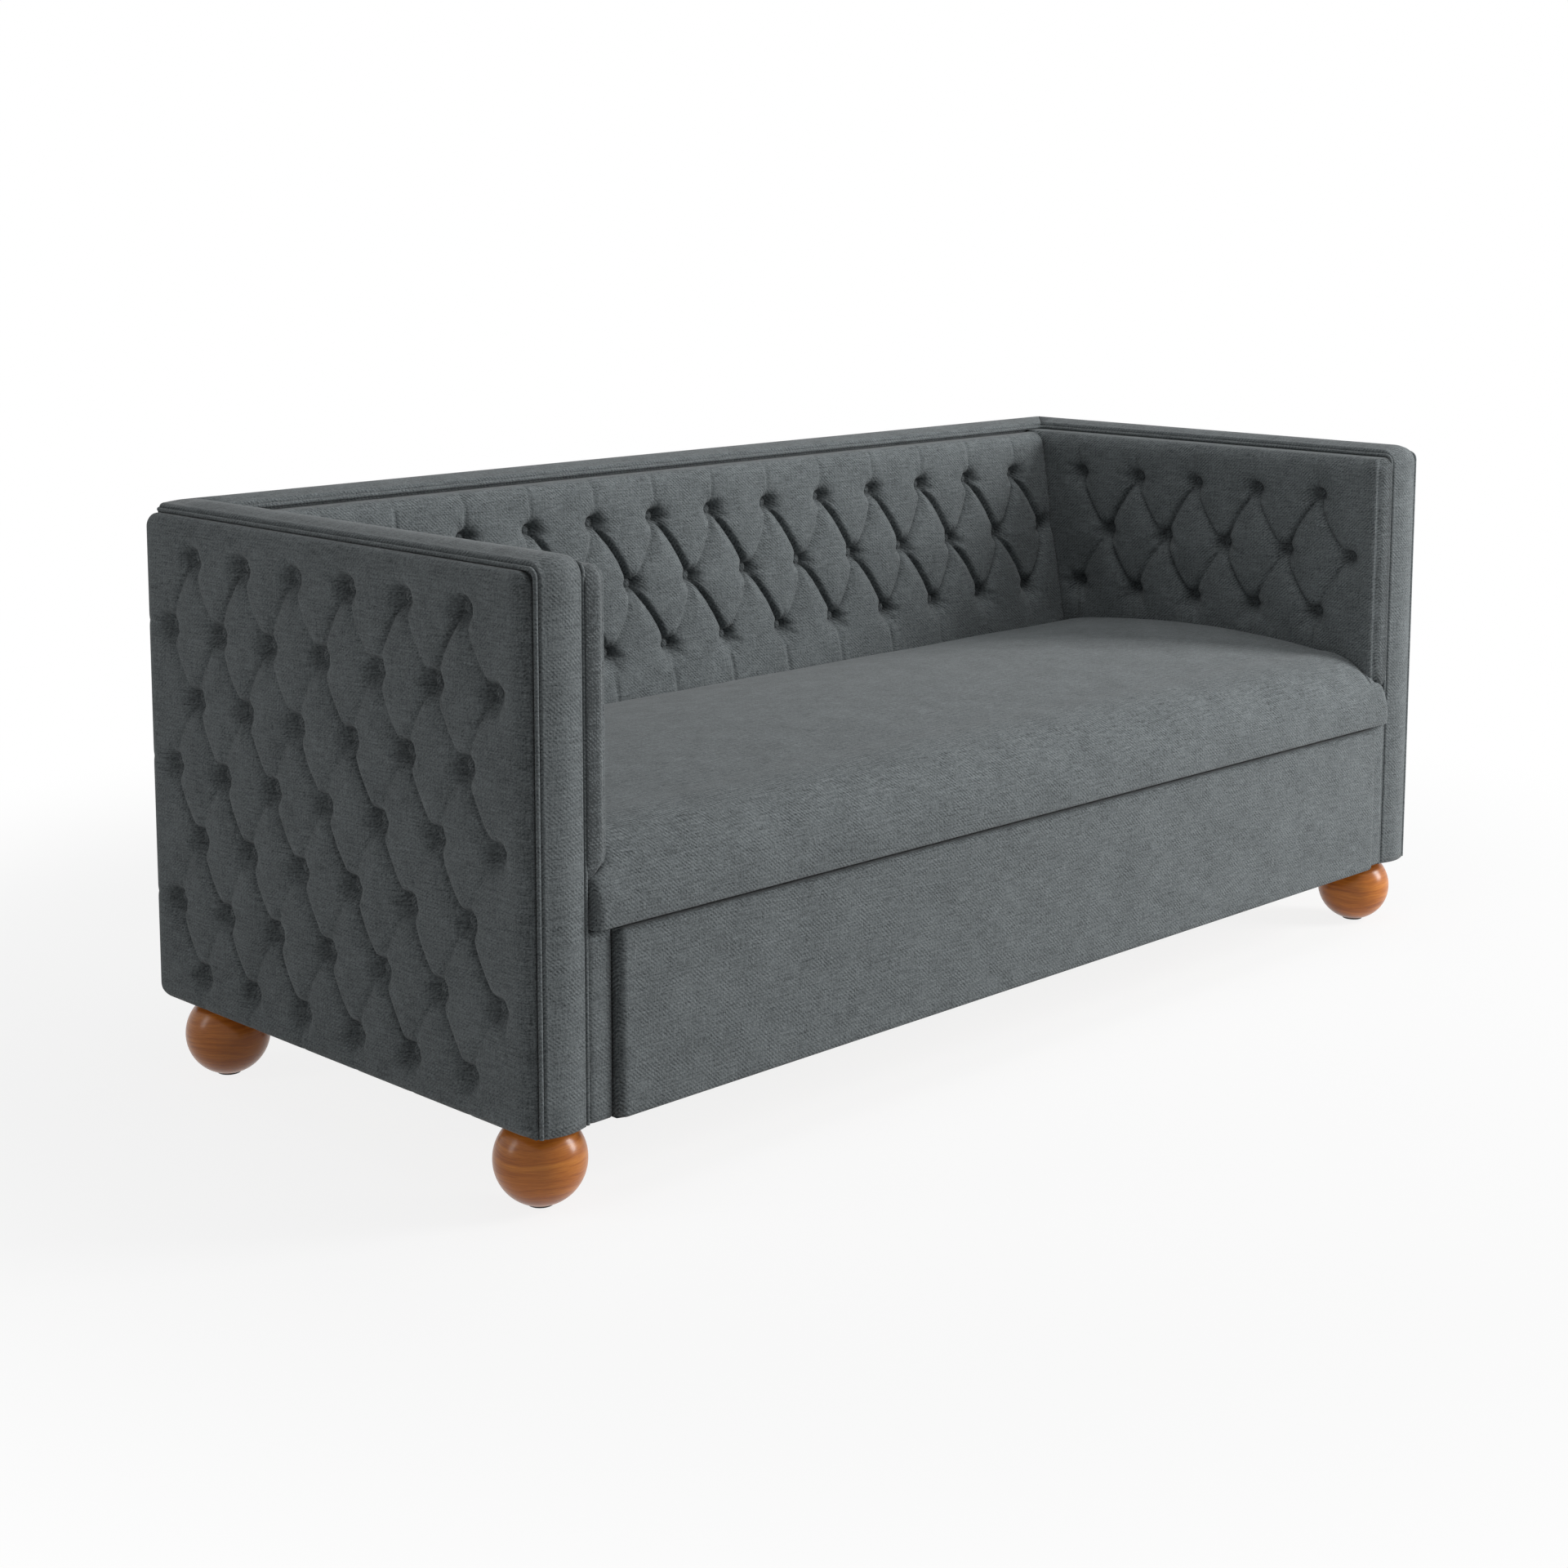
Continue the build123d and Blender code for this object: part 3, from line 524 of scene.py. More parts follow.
# relief of deep buttoning: creases along the pleats, hollows at the buttons, and pillows that lean down;
# pull says how hard a pleat draws in, and how far down its length the sharp fold runs
def tuftRelief(size, rows, lines, hems, look, pull):
    buttons = np.array([p for row in rows for p in row])
    seed = look["seed"]
    draw = np.random.default_rng(seed)
    phases = draw.uniform(0, 2 * math.pi, len(buttons))
    gathers = draw.integers(*pleatLook["gathers"], len(buttons))
    sinks = draw.uniform(*pleatLook["sinks"], len(buttons))
    pulls = [pull(a, b) for a, b in lines]
    strengths = draw.uniform(*look["vary"], len(lines)) * np.array([strong for strong, _ in pulls])
    folds = draw.uniform(*look["foldVary"], len(lines))
    runs = [run for _, run in pulls]

    def roundFall(share):
        return 1 - np.sqrt(1 - (1 - np.clip(share, 0, 1)) ** 2)

    def measure(u, v, a, b):
        along = np.array(b) - np.array(a)
        length = math.hypot(*along)
        along = along / length
        t = ((u - a[0]) * along[0] + (v - a[1]) * along[1]) / length
        side = (u - a[0]) * -along[1] + (v - a[1]) * along[0]
        over = np.maximum(np.abs(t - 0.5) - 0.5, 0) * length
        return np.clip(t, 0, 1), side, over

    def relief(u, v):
        wobble = smoothNoise(u, v, pleatLook["wobbleScale"], seed + 1)
        ripple = smoothNoise(u, v, pleatLook["rippleScale"], seed + 2)
        stray = wobble * pleatLook["wobble"] + ripple * pleatLook["ripple"]
        crease = np.zeros_like(u)
        fold = np.zeros_like(u)
        near = np.full_like(u, farOff)
        for (a, b), strong, sharp, run in zip(lines, strengths, folds, runs):
            t, side, over = measure(u, v, a, b)
            fall = (b[1] - a[1]) / math.dist(a, b)
            side = side + (look["bow"] * fall + stray) * np.sin(math.pi * t)
            above = side > 0 if b[0] > a[0] else side < 0
            away = np.hypot(side, over)
            near = np.minimum(near, away)
            middle = look["middle"] * strong
            deep = middle + (look["depth"] - middle) * np.abs(2 * t - 1) ** pleatLook["deepen"]
            reach = np.where(above, look["reach"][0], look["reach"][1])
            crease = np.maximum(crease, deep * roundFall(away / reach))
            shown = np.clip((run - t) / pleatLook["foldFade"], 0, 1)
            sharp = min(strong, pleatLook["foldCap"]) * sharp * shown
            fold = np.maximum(fold, sharp * np.exp(-((away / look["foldWidth"]) ** 2)))
        for a, b in hems:
            t, side, over = measure(u, v, a, b)
            away = np.hypot(side + wobble * pleatLook["hemWobble"], over)
            deep = look["hem"][0] + (look["hem"][1] - look["hem"][0]) * t ** pleatLook["hemFade"]
            crease = np.maximum(crease, deep * roundFall(away / look["hemReach"]))
        full = look["swell"] * np.clip(1 - near / look["swellReach"], 0, 1) ** pleatLook["swellCurve"]
        far = np.full_like(u, farOff)
        turn, phase, count, sink = (np.zeros_like(u) for _ in range(4))
        for (bu, bv), ph, n, deep in zip(buttons, phases, gathers, sinks):
            away = np.hypot(u - bu, v - bv)
            closer = away < far
            far = np.where(closer, away, far)
            turn = np.where(closer, np.arctan2(v - bv, u - bu), turn)
            phase = np.where(closer, ph, phase)
            count = np.where(closer, n, count)
            sink = np.where(closer, deep, sink)
        outside = np.maximum(far - look["button"], 0) / look["hollow"]
        hollow = sink * look["pocket"] * np.exp(-(outside ** look["bell"]))
        depth = ((crease + full + look["fold"] * fold) ** 3 + hollow**3) ** (1 / 3)
        depth = np.minimum(depth, look["pocket"] + pleatLook["slack"])
        # painted shade: the cloth darkens with the depth of a pocket and along the sharp folds, standing in
        # for the shade in them
        dark = (depth / look["pocket"]) ** pleatLook["shadeCurve"] + look["foldShade"] * fold
        ring = np.exp(-(((far - look["puckerAt"]) / pleatLook["puckerWidth"]) ** 2))
        puckers = np.cos(count * turn + phase) * ring
        border = np.minimum(np.minimum(u, size[0] - u), np.minimum(v, size[1] - v))
        inside = np.clip(border / look["edge"], 0, 1)
        inside = inside * inside * (3 - 2 * inside)
        height = -depth + (puckers * look["pucker"] + wobble * look["wander"]) * inside
        lean = look["lean"] * np.maximum(look["pocket"] - depth, 0) * inside
        return np.zeros_like(u), -lean, height, np.clip(dark, 0, 1)

    return relief


# a Geometry Nodes tree starts with its named inputs and ends with real geometry in its cover
def startTree(name, inputs):
    tree = bpy.data.node_groups.new(name, "GeometryNodeTree")
    newSocket = tree.interface.new_socket
    newSocket("Geometry", in_out="INPUT", socket_type="NodeSocketGeometry")
    for label, kind in inputs.items():
        newSocket(label, in_out="INPUT", socket_type="NodeSocket" + kind)
    newSocket("Cover", in_out="INPUT", socket_type="NodeSocketMaterial")
    newSocket("Geometry", in_out="OUTPUT", socket_type="NodeSocketGeometry")
    return tree, tree.nodes.new("NodeGroupInput")


def endTree(tree, inlet, shape):
    real = tree.nodes.new("GeometryNodeRealizeInstances")
    cover = tree.nodes.new("GeometryNodeSetMaterial")
    outlet = tree.nodes.new("NodeGroupOutput")
    link = tree.links.new
    link(shape, real.inputs["Geometry"])
    link(real.outputs["Geometry"], cover.inputs["Geometry"])
    link(inlet.outputs["Cover"], cover.inputs["Material"])
    link(cover.outputs["Geometry"], outlet.inputs["Geometry"])


# covered buttons set on lattice points
# the buttons' cloth carries a painted shade about as dark as the pockets they sit in
buttonLook = dict(radius=0.0100, dome=0.0062, segments=14, rings=8, dip=0.9)


def buttonTree(look):
    tree, inlet = startTree("coveredButtons", {"Radius": "Float", "Dome": "Float", "Turn": "Rotation"})
    ball = tree.nodes.new("GeometryNodeMeshUVSphere")
    ball.inputs["Segments"].default_value = look["segments"]
    ball.inputs["Rings"].default_value = look["rings"]
    ball.inputs["Radius"].default_value = 1.0
    size = tree.nodes.new("ShaderNodeCombineXYZ")
    squash = tree.nodes.new("GeometryNodeTransform")
    place = tree.nodes.new("GeometryNodeInstanceOnPoints")
    link = tree.links.new
    link(inlet.outputs["Radius"], size.inputs[0])
    link(inlet.outputs["Radius"], size.inputs[1])
    link(inlet.outputs["Dome"], size.inputs[2])
    link(ball.outputs["Mesh"], squash.inputs["Geometry"])
    link(size.outputs[0], squash.inputs["Scale"])
    link(inlet.outputs["Geometry"], place.inputs["Points"])
    link(squash.outputs["Geometry"], place.inputs["Instance"])
    link(inlet.outputs["Turn"], place.inputs["Rotation"])
    endTree(tree, inlet, place.outputs["Instances"])
    return tree


coveredButtons = buttonTree(buttonLook)


# runs a tree on bare points or edges and returns a plain mesh
def growMesh(name, points, edges, tree, values):
    seedMesh = bpy.data.meshes.new(name + "Seed")
    seedMesh.from_pydata([tuple(p) for p in points], edges, [])
    carrier = bpy.data.objects.new(name + "Seed", seedMesh)
    scene.collection.objects.link(carrier)
    grow = carrier.modifiers.new("grow", "NODES")
    grow.node_group = tree
    sockets = {s.name: s.identifier for s in tree.interface.items_tree if s.in_out == "INPUT"}
    for key, value in values.items():
        grow[sockets[key]] = value
    bpy.context.view_layer.update()
    shape = carrier.evaluated_get(bpy.context.evaluated_depsgraph_get())
    mesh = bpy.data.meshes.new_from_object(shape)
    bpy.data.objects.remove(carrier)
    mesh.name = name
    return mesh


def setButtons(name, spots, normal, node, look):
    turn = Vector(normal).to_track_quat("Z", "Y").to_euler()
    values = {"Radius": look["radius"], "Dome": look["dome"], "Turn": turn, "Cover": cloth}
    mesh = growMesh(name, spots, [], coveredButtons, values)
    finishPiece(name, mesh, cloth, "frame", [node], dips=look["dip"])


# tufted outsides of the ends
endLook = dict(
    depth=0.0110,
    middle=0.0052,
    vary=(0.75, 1.25),
    reach=(0.018, 0.028),
    bow=0.006,
    swell=0.0035,
    swellReach=0.055,
    pocket=0.0200,
    hollow=0.0158,
    bell=2.0,
    button=0.0060,
    hem=(0.006, 0.0015),
    hemReach=0.012,
    pucker=0.0007,
    puckerAt=0.028,
    wander=0.0007,
    lean=0.30,
    fold=0.0016,
    foldWidth=0.0036,
    foldShade=0.55,
    foldVary=(0.25, 1.15),
    rimShade=0.55,
    rimReach=0.030,
    edge=0.045,
    step=0.0028,
    rolls=((0.026, 0.0115), (0.030, 0.0130), (0.018, 0.011), (0.022, 0.0115)),
    pitch=0.12358,
    rowPitch=0.10233,
    center=0.01325,
    top=0.787,
    corners=[(True, False), (True, True), (False, True)],
    counts=(6, 7, 6, 7, 6, 7, 6),
    forward=(0.35, 0.7, 1.25, 1.45, 1.45, 1.3),
    backward=(1.25, 0.7, 0.4, 0.35, 0.4, 0.45),
    frontPull=(1.25, 0.5),
    runs=(1.4, 0.75),
    buttonSink=0.0022,
    seed=11,
)


def makeEndPads(look):
    low, high = (Vector(c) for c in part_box("right_end_pad"))
    size = (high.y - low.y, high.z - low.z)
    center = look["center"] - low.y
    top = look["top"] - low.z
    rows = buttonRows(look["counts"], look["pitch"], look["rowPitch"], center, top)
    lines = pleatLines(rows, look["pitch"])
    hems = [(row[-1], (size[0], row[-1][1])) for row in rows[1::2]]
    hems += [(p, (p[0], 0.0)) for p in rows[-1]]

    # the cloth draws harder along one diagonal near the top and the other one lower down
    def pull(a, b):
        level = round((top - a[1]) / look["rowPitch"])
        front = look["frontPull"][0] - look["frontPull"][1] * a[0] / size[0]
        if b[0] < a[0]:
            return look["forward"][level] * front, look["runs"][0]
        return look["backward"][level] * front, look["runs"][1]

    relief = tuftRelief(size, rows, lines, hems, look, pull)
    for side, hand in ((-1, "left"), (1, "right")):

        def spot(u, v, rise):
            return np.stack([side * (high.x + rise), low.y + u, low.z + v], -1)

        wall = straightWall(0, side * (low.x + clothGap))
        points, faces, dips = padMesh(size, look["step"], look["rolls"], relief, spot, wall, look["corners"])
        # painted shade: the cloth darkens over the last few centimetres toward the front edge beside the
        # piping
        dips = dips + look["rimShade"] * np.clip(1 - (points[:, 1] - low.y) / look["rimReach"], 0, 1)
        node = hand + "_end_pad"
        makePiece(hand + "EndPad", points, faces, endCloth, "frame", [node], fill=0.8, flat=0, dips=dips)
        sunk = high.x - look["pocket"] - look["buttonSink"]
        spots = [(side * sunk, low.y + u, low.z + v) for row in rows for u, v in row]
        setButtons(hand + "EndButtons", spots, (side, 0, 0), hand + "_end_buttons", buttonLook)


makeEndPads(endLook)
print("end pads made")

# tufted insides of the arms and the back
innerLook = dict(
    depth=0.0200,
    middle=0.0140,
    vary=(0.88, 1.12),
    reach=(0.010, 0.025),
    bow=0.007,
    swell=0.0050,
    swellReach=0.056,
    pocket=0.0260,
    hollow=0.0130,
    bell=1.3,
    button=0.0060,
    hem=(0.010, 0.0030),
    hemReach=0.011,
    pucker=0.0008,
    puckerAt=0.025,
    wander=0.0007,
    lean=0.42,
    fold=0.0006,
    foldWidth=0.0036,
    foldShade=0.20,
    foldVary=(0.6, 1.1),
    edge=0.050,
    step=0.0030,
    pitch=0.133,
    rowPitch=0.106,
    top=0.775,
    armCenter=-0.036,
    armCount=5,
    armPulls=((0.8, 0.3), (0.6, 0.9)),
    armSeed=23,
    puff=0.008,
    puffReach=0.012,
    puffRise=0.4,
    puffHold=0.84,
    puffParts=(0.05, 0.1, 0.17, 0.25, 0.35, 0.5, 0.7, 0.84, 0.9, 0.95, 0.98, 1.0),
    stripReach=0.012,
    stripShade=1.7,
    tuck=(0.034, 0.016),
    armRolls=((0.008, 0.007), (0, 0), (0.036, 0.036), (0.024, 0.020)),
    armCorners=[(False, False), (False, True)],
    backCounts=(13, 14, 13),
    backTop=0.041,
    backWeak=0.3,
    backFade=(0.62, 0.2),
    backSeed=37,
    backRolls=((0.008, 0.008), (0.008, 0.008), (0.010, 0.010), (0.024, 0.020)),
    run=1.4,
    pocketShade=0.8,
    buttonSink=0.0015,
)


def makeArmPads(look):
    low, high = (Vector(c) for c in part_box("right_arm_pad"))
    size = (high.y - low.y, high.z - low.z)
    counts = [look["armCount"]] * 3
    shift = (0, -look["pitch"] / 2, 0)
    center = look["armCenter"] - low.y
    rows = buttonRows(counts, look["pitch"], look["rowPitch"], center, look["top"] - low.z, shift)
    lines = pleatLines(rows, look["pitch"])
    hems = [(p, (p[0], size[1])) for p in rows[0]] + [(p, (p[0], 0.0)) for p in rows[-1]]

    # upper pleats draw harder where they run down to the rear, lower ones where they run down to the front
    def pull(a, b):
        rearward, forward = look["armPulls"]
        level = 0 if a in rows[0] else 1
        return (rearward if b[0] > a[0] else forward)[level], look["run"]

    relief = tuftRelief(size, rows, lines, hems, dict(look, seed=look["armSeed"]), pull)
    for side, hand in ((-1, "left"), (1, "right")):

        # the top roll runs out beside the back pad, so the rear corner is filled up to the piping
        def spot(u, v, rise):
            filled = np.clip((u - size[0] + look["tuck"][0]) / (look["tuck"][0] - look["tuck"][1]), 0, 1)
            filled = filled * (v > size[1] - look["armRolls"][3][0])
            return np.stack([side * (low.x - rise * (1 - filled)), low.y + u, low.z + v], -1)

        # the front end swells past the welt beside it
        def wall(rim):
            front = np.clip(1 - (rim[:, 1] - low.y) / look["puffReach"], 0, 1)
            rings = []
            for part in look["puffParts"]:
                ring = rim.copy()
                ring[:, 0] += (side * (high.x - clothGap) - rim[:, 0]) * part
                grow = math.sin(math.pi / 2 * min(part / look["puffRise"], 1))
                fade = math.sqrt(1 - min(max(part - look["puffHold"], 0) / (1 - look["puffHold"]), 1) ** 2)
                ring[:, 1] -= look["puff"] * front * grow * fade
                rings.append(ring)
            return rings

        points, faces, dips = padMesh(
            size, look["step"], look["armRolls"], relief, spot, wall, look["armCorners"]
        )
        # painted shade: the front strip darkens toward the band beside it, added to the painted shade of the
        # pockets
        strip = np.clip(1 - (points[:, 1] - low.y) / look["stripReach"], 0, 1)
        strip = strip * np.clip(1 - (high.x - np.abs(points[:, 0])) / (high.x - low.x), 0, 1)
        dips = dips * look["pocketShade"] + look["stripShade"] * strip
        node = hand + "_arm_pad"
        makePiece(hand + "ArmPad", points, faces, cloth, "frame", [node], fill=0.7, flat=0, dips=dips)
        sunk = low.x + look["pocket"] + look["buttonSink"]
        spots = [(side * sunk, low.y + u, low.z + v) for row in rows for u, v in row]
        setButtons(hand + "ArmButtons", spots, (-side, 0, 0), hand + "_arm_buttons", buttonLook)


makeArmPads(innerLook)


# the back pad's face leans back from its foot to its top
def makeBackPad(look):
    low, high = (Vector(c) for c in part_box("back_pad"))
    rise = high.z - low.z
    slope = Vector((0, high.y - look["backTop"] - low.y, rise))
    up = slope.normalized()
    out = Vector((0, -up.z, up.y))
    size = (high.x - low.x, slope.length)
    stretch = slope.length / rise
    top = (look["top"] - low.z) * stretch
    rows = buttonRows(look["backCounts"], look["pitch"], look["rowPitch"] * stretch, -low.x, top)
    lines = pleatLines(rows, look["pitch"])
    hems = [(p, (p[0], size[1])) for p in rows[0]] + [(p, (p[0], 0.0)) for p in rows[-1]]

    # the pleats that run down to the left show toward the right end only
    def pull(a, b):
        if b[0] > a[0]:
            return 1.0, look["run"]
        start, fade = look["backFade"]
        shown = min(max((a[0] / size[0] - start) / fade, 0), 1)
        return look["backWeak"] + (1 - look["backWeak"]) * shown, look["run"]

    relief = tuftRelief(size, rows, lines, hems, dict(look, seed=look["backSeed"]), pull)

    def spot(u, v, h):
        return np.stack([low.x + u, low.y + v * up.y + h * out.y, low.z + v * up.z + h * out.z], -1)

    wall = straightWall(1, high.y - clothGap)
    points, faces, dips = padMesh(size, look["step"], look["backRolls"], relief, spot, wall)
    # painted shade of the pockets and folds, scaled for the inner pads
    dips = dips * look["pocketShade"]
    makePiece("backPad", points, faces, cloth, "frame", ["back_pad"], fill=0.7, flat=1, dips=dips)
    foot = low - out * (look["pocket"] + look["buttonSink"])
    spots = [foot + Vector((u, 0, 0)) + up * v for row in rows for u, v in row]
    setButtons("backButtons", spots, out, "back_buttons", buttonLook)


makeBackPad(innerLook)
print("inner pads made")


# padded bands over the arms and the back, swept along their runs; at the mitres each section stops short
# of the seam and then sinks into it
bandLook = dict(
    thick=0.022,
    edge=0.0056,
    crown=0.0056,
    corner=0.030,
    bendSteps=12,
    step=0.012,
    rearStop=0.010,
    wallShare=0.75,
    topShare=0.7,
    mitre=((0.0016, 0.0), (0.0006, 0.0012)),
)


def bandSection(width, thick, look, arc=7, across=12, under=6):
    edge, crown = look["edge"], look["crown"]
    base = -edge - crown / 2
    bends = [math.pi / 2 * i / arc for i in range(arc + 1)]
    ring = [(edge - edge * math.cos(turn), base + edge * math.sin(turn)) for turn in bends]
    for i in range(1, across):
        share = i / across
        ring.append((edge + (width - 2 * edge) * share, crown * (math.sin(math.pi * share) - 0.5)))
    ring += [(width - edge + edge * math.cos(turn), base + edge * math.sin(turn)) for turn in bends[::-1]]
    ring.append((width, -thick * look["wallShare"]))
    ring += [(width * (1 - i / under), -thick) for i in range(under + 1)]
    ring.append((0, -thick * look["wallShare"]))
    return ring


def mitreSections(ring, thick, look):
    ends = []
    for short, sink in look["mitre"]:
        top = -thick * look["topShare"]
        ends.append((short, [(a, b - sink if b > top else b) for a, b in ring]))
    return ends


def sweepRings(rings):
    count = len(rings[0])
    points = [p for ring in rings for p in ring]
    faces = []
    for i in range(len(rings) - 1):
        for j in range(count):
            k = (j + 1) % count
            faces.append([i * count + j, i * count + k, (i + 1) * count + k, (i + 1) * count + j])
    faces.append(list(range(count - 1, -1, -1)))
    last = (len(rings) - 1) * count
    faces.append([last + j for j in range(count)])
    return points, faces


def makeArmBands(look):
    low, high = (Vector(c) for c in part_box("right_arm_band"))
    width = high.x - low.x
    backIn = high.y - width
    corner = look["corner"]
    ring = bandSection(width, look["thick"] - clothGap, look)
    rise = high.z - corner
    count = int((rise - low.z) / look["step"])
    run = [((low.y, low.z + (rise - low.z) * i / count), (-1, 0)) for i in range(count + 1)]
    for i in range(1, look["bendSteps"]):
        turn = math.pi / 2 * i / look["bendSteps"]
        place = (low.y + corner - corner * math.cos(turn), rise + corner * math.sin(turn))
        run.append((place, (-math.cos(turn), math.sin(turn))))
    start = low.y + corner
    length = backIn - look["rearStop"] - start
    count = int((backIn - start) / look["step"])
    run += [((start + length * i / count, high.z), (0, 1)) for i in range(count + 1)]
    for side, hand in ((-1, "left"), (1, "right")):
        rings = []
        for (y, z), (ny, nz) in run:
            rings.append([(side * (low.x + a), y + ny * b, z + nz * b) for a, b in ring])
        for short, end in mitreSections(ring, look["thick"], look):
            rings.append([(side * (low.x + a), backIn + a - short, high.z + b) for a, b in end])
        points, faces = sweepRings(rings)
        makePiece(hand + "ArmBand", points, faces, cloth, "frame", [hand + "_arm_band"], fill=0.9)


makeArmBands(bandLook)


def makeBackBand(look):
    low, high = (Vector(c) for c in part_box("back_band"))
    width = high.y - low.y
    thick = high.z - low.z
    half = high.x - width
    ring = bandSection(width, thick - clothGap, look)
    ends = mitreSections(ring, thick, look)
    rings = [[(-half - a + short, low.y + a, high.z + b) for a, b in end] for short, end in ends[::-1]]
    count = int(2 * half / look["step"])
    for i in range(1, count):
        x = -half + 2 * half * i / count
        rings.append([(x, low.y + a, high.z + b) for a, b in ring])
    rings += [[(half + a - short, low.y + a, high.z + b) for a, b in end] for short, end in ends]
    points, faces = sweepRings(rings)
    makePiece("backBand", points, faces, cloth, "frame", ["back_band"], fill=0.9)


makeBackBand(bandLook)
print("bands made")

# piping along the seams, a cord drawn along its path
weltLook = dict(radius=0.0031, thick=0.008, bend=0.012, bendSteps=8, sides=12)


def weltTree(look):
    tree, inlet = startTree("piping", {"Radius": "Float", "Bend": "Float", "Sides": "Int"})
    path = tree.nodes.new("GeometryNodeMeshToCurve")
    bend = tree.nodes.new("GeometryNodeFilletCurve")
    bend.mode = "POLY"
    bend.inputs["Count"].default_value = look["bendSteps"]
    ring = tree.nodes.new("GeometryNodeCurvePrimitiveCircle")
    tube = tree.nodes.new("GeometryNodeCurveToMesh")
    tube.inputs["Fill Caps"].default_value = True
    link = tree.links.new
    link(inlet.outputs["Geometry"], path.inputs["Mesh"])
    link(path.outputs["Curve"], bend.inputs["Curve"])
    link(inlet.outputs["Bend"], bend.inputs["Radius"])
    link(bend.outputs["Curve"], tube.inputs["Curve"])
    link(inlet.outputs["Sides"], ring.inputs["Resolution"])
    link(inlet.outputs["Radius"], ring.inputs["Radius"])
    link(ring.outputs["Curve"], tube.inputs["Profile Curve"])
    endTree(tree, inlet, tube.outputs["Mesh"])
    return tree


piping = weltTree(weltLook)


# each cord lies against the wall and the pad whose seam it covers
def makeWelts(look):
    r = look["radius"]
    far = look["thick"] - r
    for node, name, wall in (("outer_welt", "outerWelt", far), ("inner_welt", "innerWelt", r)):
        low, high = (Vector(c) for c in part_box(node))
        xs = (low.x + wall, high.x - wall)
        ys = (low.y + far, high.y - wall)
        zs = (low.z, high.z - far)
        route = [
            (xs[0], ys[0], zs[0]),
            (xs[0], ys[0], zs[1]),
            (xs[0], ys[1], zs[1]),
            (xs[1], ys[1], zs[1]),
            (xs[1], ys[0], zs[1]),
            (xs[1], ys[0], zs[0]),
        ]
        edges = [(i, i + 1) for i in range(len(route) - 1)]
        values = {"Radius": r, "Bend": look["bend"], "Sides": look["sides"], "Cover": cloth}
        mesh = growMesh(name, route, edges, piping, values)
        finishPiece(name, mesh, cloth, "frame", [node])


makeWelts(weltLook)
print("piping made")

# tight seat, rolled over at the front and crowned; the gaps are room left to the pads around it
seatLook = dict(
    hem=((0.004, 0.0004), (0.0012, 0.0025), (0.0, 0.008)),
    foot=0.024,
    roll=0.118,
    noseMid=(0.27, 0.69),
    shoulder=0.497,
    crown=0.512,
    crownMid=0.4,
    swell=0.007,
    rearHeight=0.486,
    arcSteps=(16, 44),
    tuck=0.006,
    tuckSteps=6,
    lean=0.173,
    padGap=0.0003,
    ledgeGap=0.0006,
    backGap=0.0008,
    rearGap=0.001,
    padRadius=0.0363,
    padStep=0.0005,
    shelfSteps=9,
    padSoft=0.016,
    softSteps=8,
    padDrop=0.005,
    dropFrom=0.020,
    frontLift=0.010,
    liftAt=-0.403,
    liftRun=0.020,
    endRound=0.014,
    endStart=0.013,
    endSteps=5,
    endReach=0.050,
    waver=0.0009,
    waverScale=0.33,
    waverFrom=0.46,
    waverRise=0.04,
    step=0.012,
    seed=5,
)


def arcThrough(a, m, b, count):
    (ax, ay), (bx, by), (cx, cy) = a, m, b
    d = 2 * (ax * (by - cy) + bx * (cy - ay) + cx * (ay - by))
    ux = ((ax**2 + ay**2) * (by - cy) + (bx**2 + by**2) * (cy - ay) + (cx**2 + cy**2) * (ay - by)) / d
    uy = ((ax**2 + ay**2) * (cx - bx) + (bx**2 + by**2) * (ax - cx) + (cx**2 + cy**2) * (bx - ax)) / d
    radius = math.hypot(ax - ux, ay - uy)
    first = math.atan2(ay - uy, ax - ux)
    last = math.atan2(cy - uy, cx - ux)
    if last > first:
        last -= 2 * math.pi
    turns = [first + (last - first) * i / count for i in range(count + 1)]
    return [(ux + radius * math.cos(turn), uy + radius * math.sin(turn)) for turn in turns]


# places across the seat: even between the arm pads, closer beside them and over the shelves under them
def seatPlaces(padIn, side, look):
    soft = look["padSoft"]
    inner = np.linspace(-padIn + soft, padIn - soft, int((2 * padIn - 2 * soft) / look["step"]))
    count = look["softSteps"]
    edge = [padIn - soft * (1 - i / count) for i in range(1, count + 1)] + [padIn + look["padStep"]]
    bends = np.linspace(0, math.pi / 2, look["shelfSteps"] + 1)[1:]
    shelf = [padIn + look["padRadius"] * (1 - math.cos(bend)) for bend in bends]
    shelf = [x for x in shelf if x < side - look["endStart"]]
    bends = np.linspace(0, math.pi / 2, look["endSteps"] + 1)
    shelf += [side - look["endRound"] * (1 - math.sin(bend)) for bend in bends]
    outside = np.array(edge + shelf)
    return np.concatenate([-outside[::-1], inner, outside])


